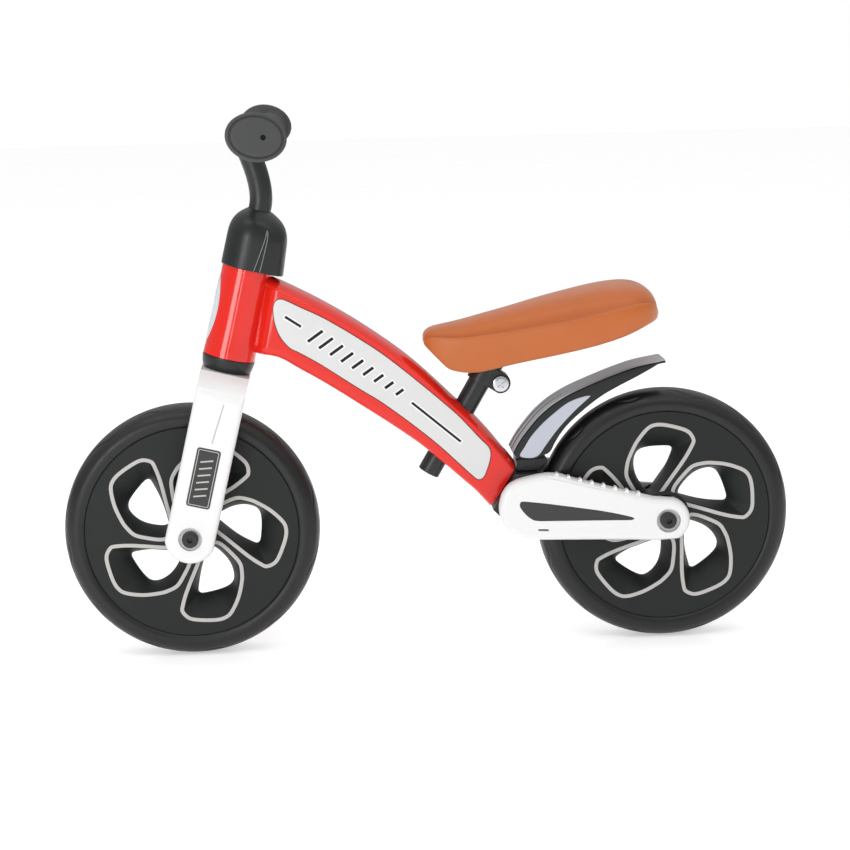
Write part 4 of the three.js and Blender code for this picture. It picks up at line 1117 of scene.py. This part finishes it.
# ---- fender ----
FENDER_TOP = numbers("""
    83.4,197.7 89.2,208.2 96.7,218.5 108.4,232.2 121.9,243.9 134,251.5 147,258.1 171.9,268.3 191.9,275.6
    211.8,281.5 237,285.9""")
FENDER_LOW = numbers("""
    120.7,196 126.4,205.9 133.1,216.3 142.6,227 153.7,236.7 163.8,244.7 174.2,251.9 184.3,257.6
    194.7,262.9 209.8,270.3 225.3,278.6 233.3,283.5 237.4,283.9""")
FENDER_PANEL = numbers("""
    90.8,193.2 95.6,202.1 102.6,213.2 112.9,224.7 125.3,235.5 139.7,245.9 153.9,251.2 162.3,252.2
    161.8,250 147.6,237.4 131.2,220.4 118.7,204.3 109.9,192.6 100.2,190.3""")
FENDER_STATIONS = 90


FENDER_FOOT = numbers("88.2,191.6 92,191 100,190.6 108,190.6 112,193")
FENDER_HALF, FENDER_WALL = 22.0, 2.2
GROOVE_END = 0.44  # share of the crown's length at which its groove has run out


def fender_line(points):
    return curve(points, 6, FENDER_STATIONS, closed=False)


def skirt_half(reach):
    """Half of the skirt's section at a station: (y, distance down from the top line)."""
    inner, middle = FENDER_HALF - FENDER_WALL, reach * 0.55 + 1.4
    half = [(0, 1.5), (12, 1.6), (18.6, 1.7), (20.4, 2.0), (21.5, 2.6), (21.9, min(3.2, reach * 0.5)),
            (FENDER_HALF, middle), (FENDER_HALF, reach), (21.4, reach + 0.3), (inner, reach),
            (inner, max(3.9, middle)), (inner - 1.0, 4.4), (17, 4.1), (0, 4.0)]
    return [(y, min(d, reach + 1.2)) for y, d in half] if reach < 4.4 else half


def groove(share):
    """Depth, half width and middle of the groove in the crown."""
    fade = max(0, 1 - share / GROOVE_END)
    return 0.75 * fade ** 0.6, 4.4 * fade, 7.5 - 1.5 * share


def crown_half(share):
    dip, width, centre = groove(share)
    width += 0.3
    return [(0, 0.0), (centre - width - 0.5, 0.02), (centre - width, 0.05 + dip),
            (centre + width, 0.05 + dip), (centre + width + 0.5, 0.08), (16, 0.12), (19.5, 0.35),
            (20.9, 0.8), (21.4, 1.45), (0, 1.45)]


def fender():
    top, low = fender_line(FENDER_TOP), fender_line(FENDER_FOOT + FENDER_LOW)
    skirt = skin([ring_of((t, (b - t).normalized()), skirt_half(max((b - t).length, 2.6)))
                  for t, b in zip(top, low)])
    panel = curve(FENDER_PANEL, 4, 120)
    pockets = [slab(panel, -30, -20.9), slab(panel, 20.9, 30)]
    add("fender_skirt", minus(skirt, *pockets), BLACK, "chassis", ["fender"], sharp=34)
    for name, side in SIDES:
        plate = slab(inset(panel, 0.35), -21.9, -20.95, 0.6, 0, 4)
        add(f"fender_window_{name}", mirrored(plate) if side > 0 else plate, WINDOW_SILVER, "chassis",
            [f"fender_panel_{name}"])
    last = len(top) - 1
    stations = []
    for i, t in enumerate(top):
        ahead = (top[min(i + 1, last)] - top[max(i - 1, 0)]).normalized()
        stations.append((i / last, t, Vector((ahead.y, -ahead.x))))
    band = skin([ring_of((t, down), crown_half(share)) for share, t, down in stations])
    add("fender_band", band, FENDER_SILVER, "chassis", ["fender_crown"], sharp=34)
    for name, side in SIDES:
        rings = []
        for share, t, down in stations:
            if share > 0.42:
                break
            dip, width, centre = groove(share)
            width += 0.1
            rings.append([((t + down * d).x, side * y, (t + down * d).y)
                          for y, d in ((centre - width, dip - 0.12), (centre + width, dip - 0.12),
                                       (centre + width, dip + 0.3), (centre - width, dip + 0.3))])
        add(f"fender_stripe_{name}", skin(rings), BLACK, "chassis")


def rear_hardware():
    bracket = rounded(numbers("""
        88.4,177.4,1.2 111,177.4,1.2 118.5,187,1.2 118.5,190.2,1.2 88.4,190.2,1.2"""), 4)
    add("fender_block", slab(bracket, -20, 20, 1.2, 1.2, 4), BLACK, "chassis", ["fender_bracket"])


# ---- floor, light and camera ----
# name, place, target, size in metres, watts
LIGHTS = [
    ("overhead", (0.1, 0.3, 2.3), (0, 0, 0.2), (2.6, 1.2), 3),
    ("front_bar", (-0.25, -1.05, 1.95), (0, 0, 0.3), (2.4, 0.25), 6),
    ("key", (-1.05, -1.55, 0.47), (-0.2, 0, 0.36), (0.60, 0.44), 6.5),
    ("strip", (-0.50, -1.80, 0.25), (-0.2, 0, 0.36), (0.12, 0.26), 0.6),
]
PAPER_WHITE = (1, 1, 1, 1)


def area_light(name, at, target, size, power):
    data = bpy.data.lights.new(name, "AREA")
    data.shape = "RECTANGLE"
    data.size, data.size_y = size
    data.energy = power
    obj = bpy.data.objects.new(name, data)
    bpy.context.scene.collection.objects.link(obj)
    obj.location = at
    obj.rotation_euler = (Vector(target) - Vector(at)).to_track_quat("-Z", "Y").to_euler()


def studio():
    scene = bpy.context.scene
    scene.view_settings.view_transform = "Standard"
    scene.view_settings.look = "None"
    scene.view_settings.exposure = 0.0
    scene.world = world = bpy.data.worlds.new("studio")
    world.use_nodes = True
    tree = world.node_tree
    sky = tree.nodes["Background"]
    coord = tree.nodes.new("ShaderNodeTexCoord")
    split = node(tree, "ShaderNodeSeparateXYZ", {"Vector": coord.outputs["Generated"]})
    height = node(tree, "ShaderNodeMapRange", {"Value": split.outputs["Z"]})
    height.interpolation_type = "SMOOTHSTEP"
    for socket, value in (("From Min", 0.0), ("From Max", 0.75), ("To Min", 0.40), ("To Max", 0.90)):
        height.inputs[socket].default_value = value
    tree.links.new(height.outputs["Result"], sky.inputs["Strength"])
    sky.inputs["Color"].default_value = PAPER_WHITE
    backdrop = node(tree, "ShaderNodeBackground", {}, Color=PAPER_WHITE, Strength=1.0)
    path = tree.nodes.new("ShaderNodeLightPath")
    mix = node(tree, "ShaderNodeMixShader", {"Fac": path.outputs["Is Camera Ray"],
                                             1: sky.outputs["Background"],
                                             2: backdrop.outputs["Background"]})
    tree.links.new(mix.outputs["Shader"], tree.nodes["World Output"].inputs["Surface"])
    floor = slab([(-14, -14), (14, -14), (14, 14), (-14, 14)], -0.02, 0, plane="XY")
    mesh = bpy.data.meshes.new("floor")
    floor.to_mesh(mesh)
    floor.free()
    ground = bpy.data.objects.new("floor", mesh)
    scene.collection.objects.link(ground)
    look = finish("pale_floor", (0.93, 0.93, 0.93), 0.10, spread=0.015, tint=0.005, patch=3,
                  grain=(40, 0.01, 0.01), IOR=1.2, Emission_Color=PAPER_WHITE, Emission_Strength=0.43)
    mesh.materials.append(look)
    for light in LIGHTS:
        area_light(*light)


# measured from the photograph: place in metres, focal length, and yaw, pitch and roll in radians
CAMERA_AT, FOCAL_MM, SENSOR_MM = (-0.0996, -1.9211, 0.5785), 82.84, 36
CAMERA_TURN = 0.0511, 0.1823, -0.0244


def camera():
    data = bpy.data.cameras.new("camera")
    data.sensor_width, data.lens = SENSOR_MM, FOCAL_MM
    data.clip_start, data.clip_end = 0.05, 60
    obj = bpy.data.objects.new("camera", data)
    bpy.context.scene.collection.objects.link(obj)
    yaw, pitch, roll = CAMERA_TURN
    ahead = Vector((sin(yaw) * cos(pitch), cos(yaw) * cos(pitch), -sin(pitch)))
    right = Vector((cos(yaw), -sin(yaw), 0))
    up = right.cross(ahead)
    across = right * cos(roll) + up * sin(roll)
    upward = up * cos(roll) - right * sin(roll)
    turn = Matrix((across, upward, -ahead)).transposed().to_4x4()
    obj.matrix_world = Matrix.Translation(CAMERA_AT) @ turn
    bpy.context.scene.camera = obj


# ---- the bike ----
# (end, axle, turn of the disc, angle of the first groove, bolt head height, its seat, body)
WHEELS = [("front", FRONT_X, -25.8, 12.5, 54, 46.3, "steering"),
          ("rear", REAR_X, -1.6, 20.4, 46, 38.7, "chassis")]
for end, x, phase, first_groove, *_ in WHEELS:
    wheel(end, x, phase, first_groove)
frame_decals(build_frame())
head_badge()
fork_plaque(build_fork())
crown_ring()
stem_cover()
handlebar()
for name, side in SIDES:
    grip(name, side)
saddle()
seat_clamp()
for name, side in SIDES:
    stay_cover(name, side)
fender()
rear_hardware()
for end, x, _, _, height, seat, body in WHEELS:
    place = Matrix.Translation((x, 0, AXLE_Z))
    add(f"{end}_bolt_head", placed(axle_head(height, seat), place), STEEL, body, [f"{end}_axle_bolt"])
    add(f"{end}_cap_nut", placed(mirrored(axle_head(height, seat)), place), STEEL, body,
        [f"{end}_axle_nut"])

# the CAD nodes that stay get the look of the slot they came with
for cad_node in NODES.values():
    slot = cad_node.data.materials[0].name
    cad_node.data.materials.clear()
    cad_node.data.materials.append(SLOT_LOOKS[slot])

studio()
camera()
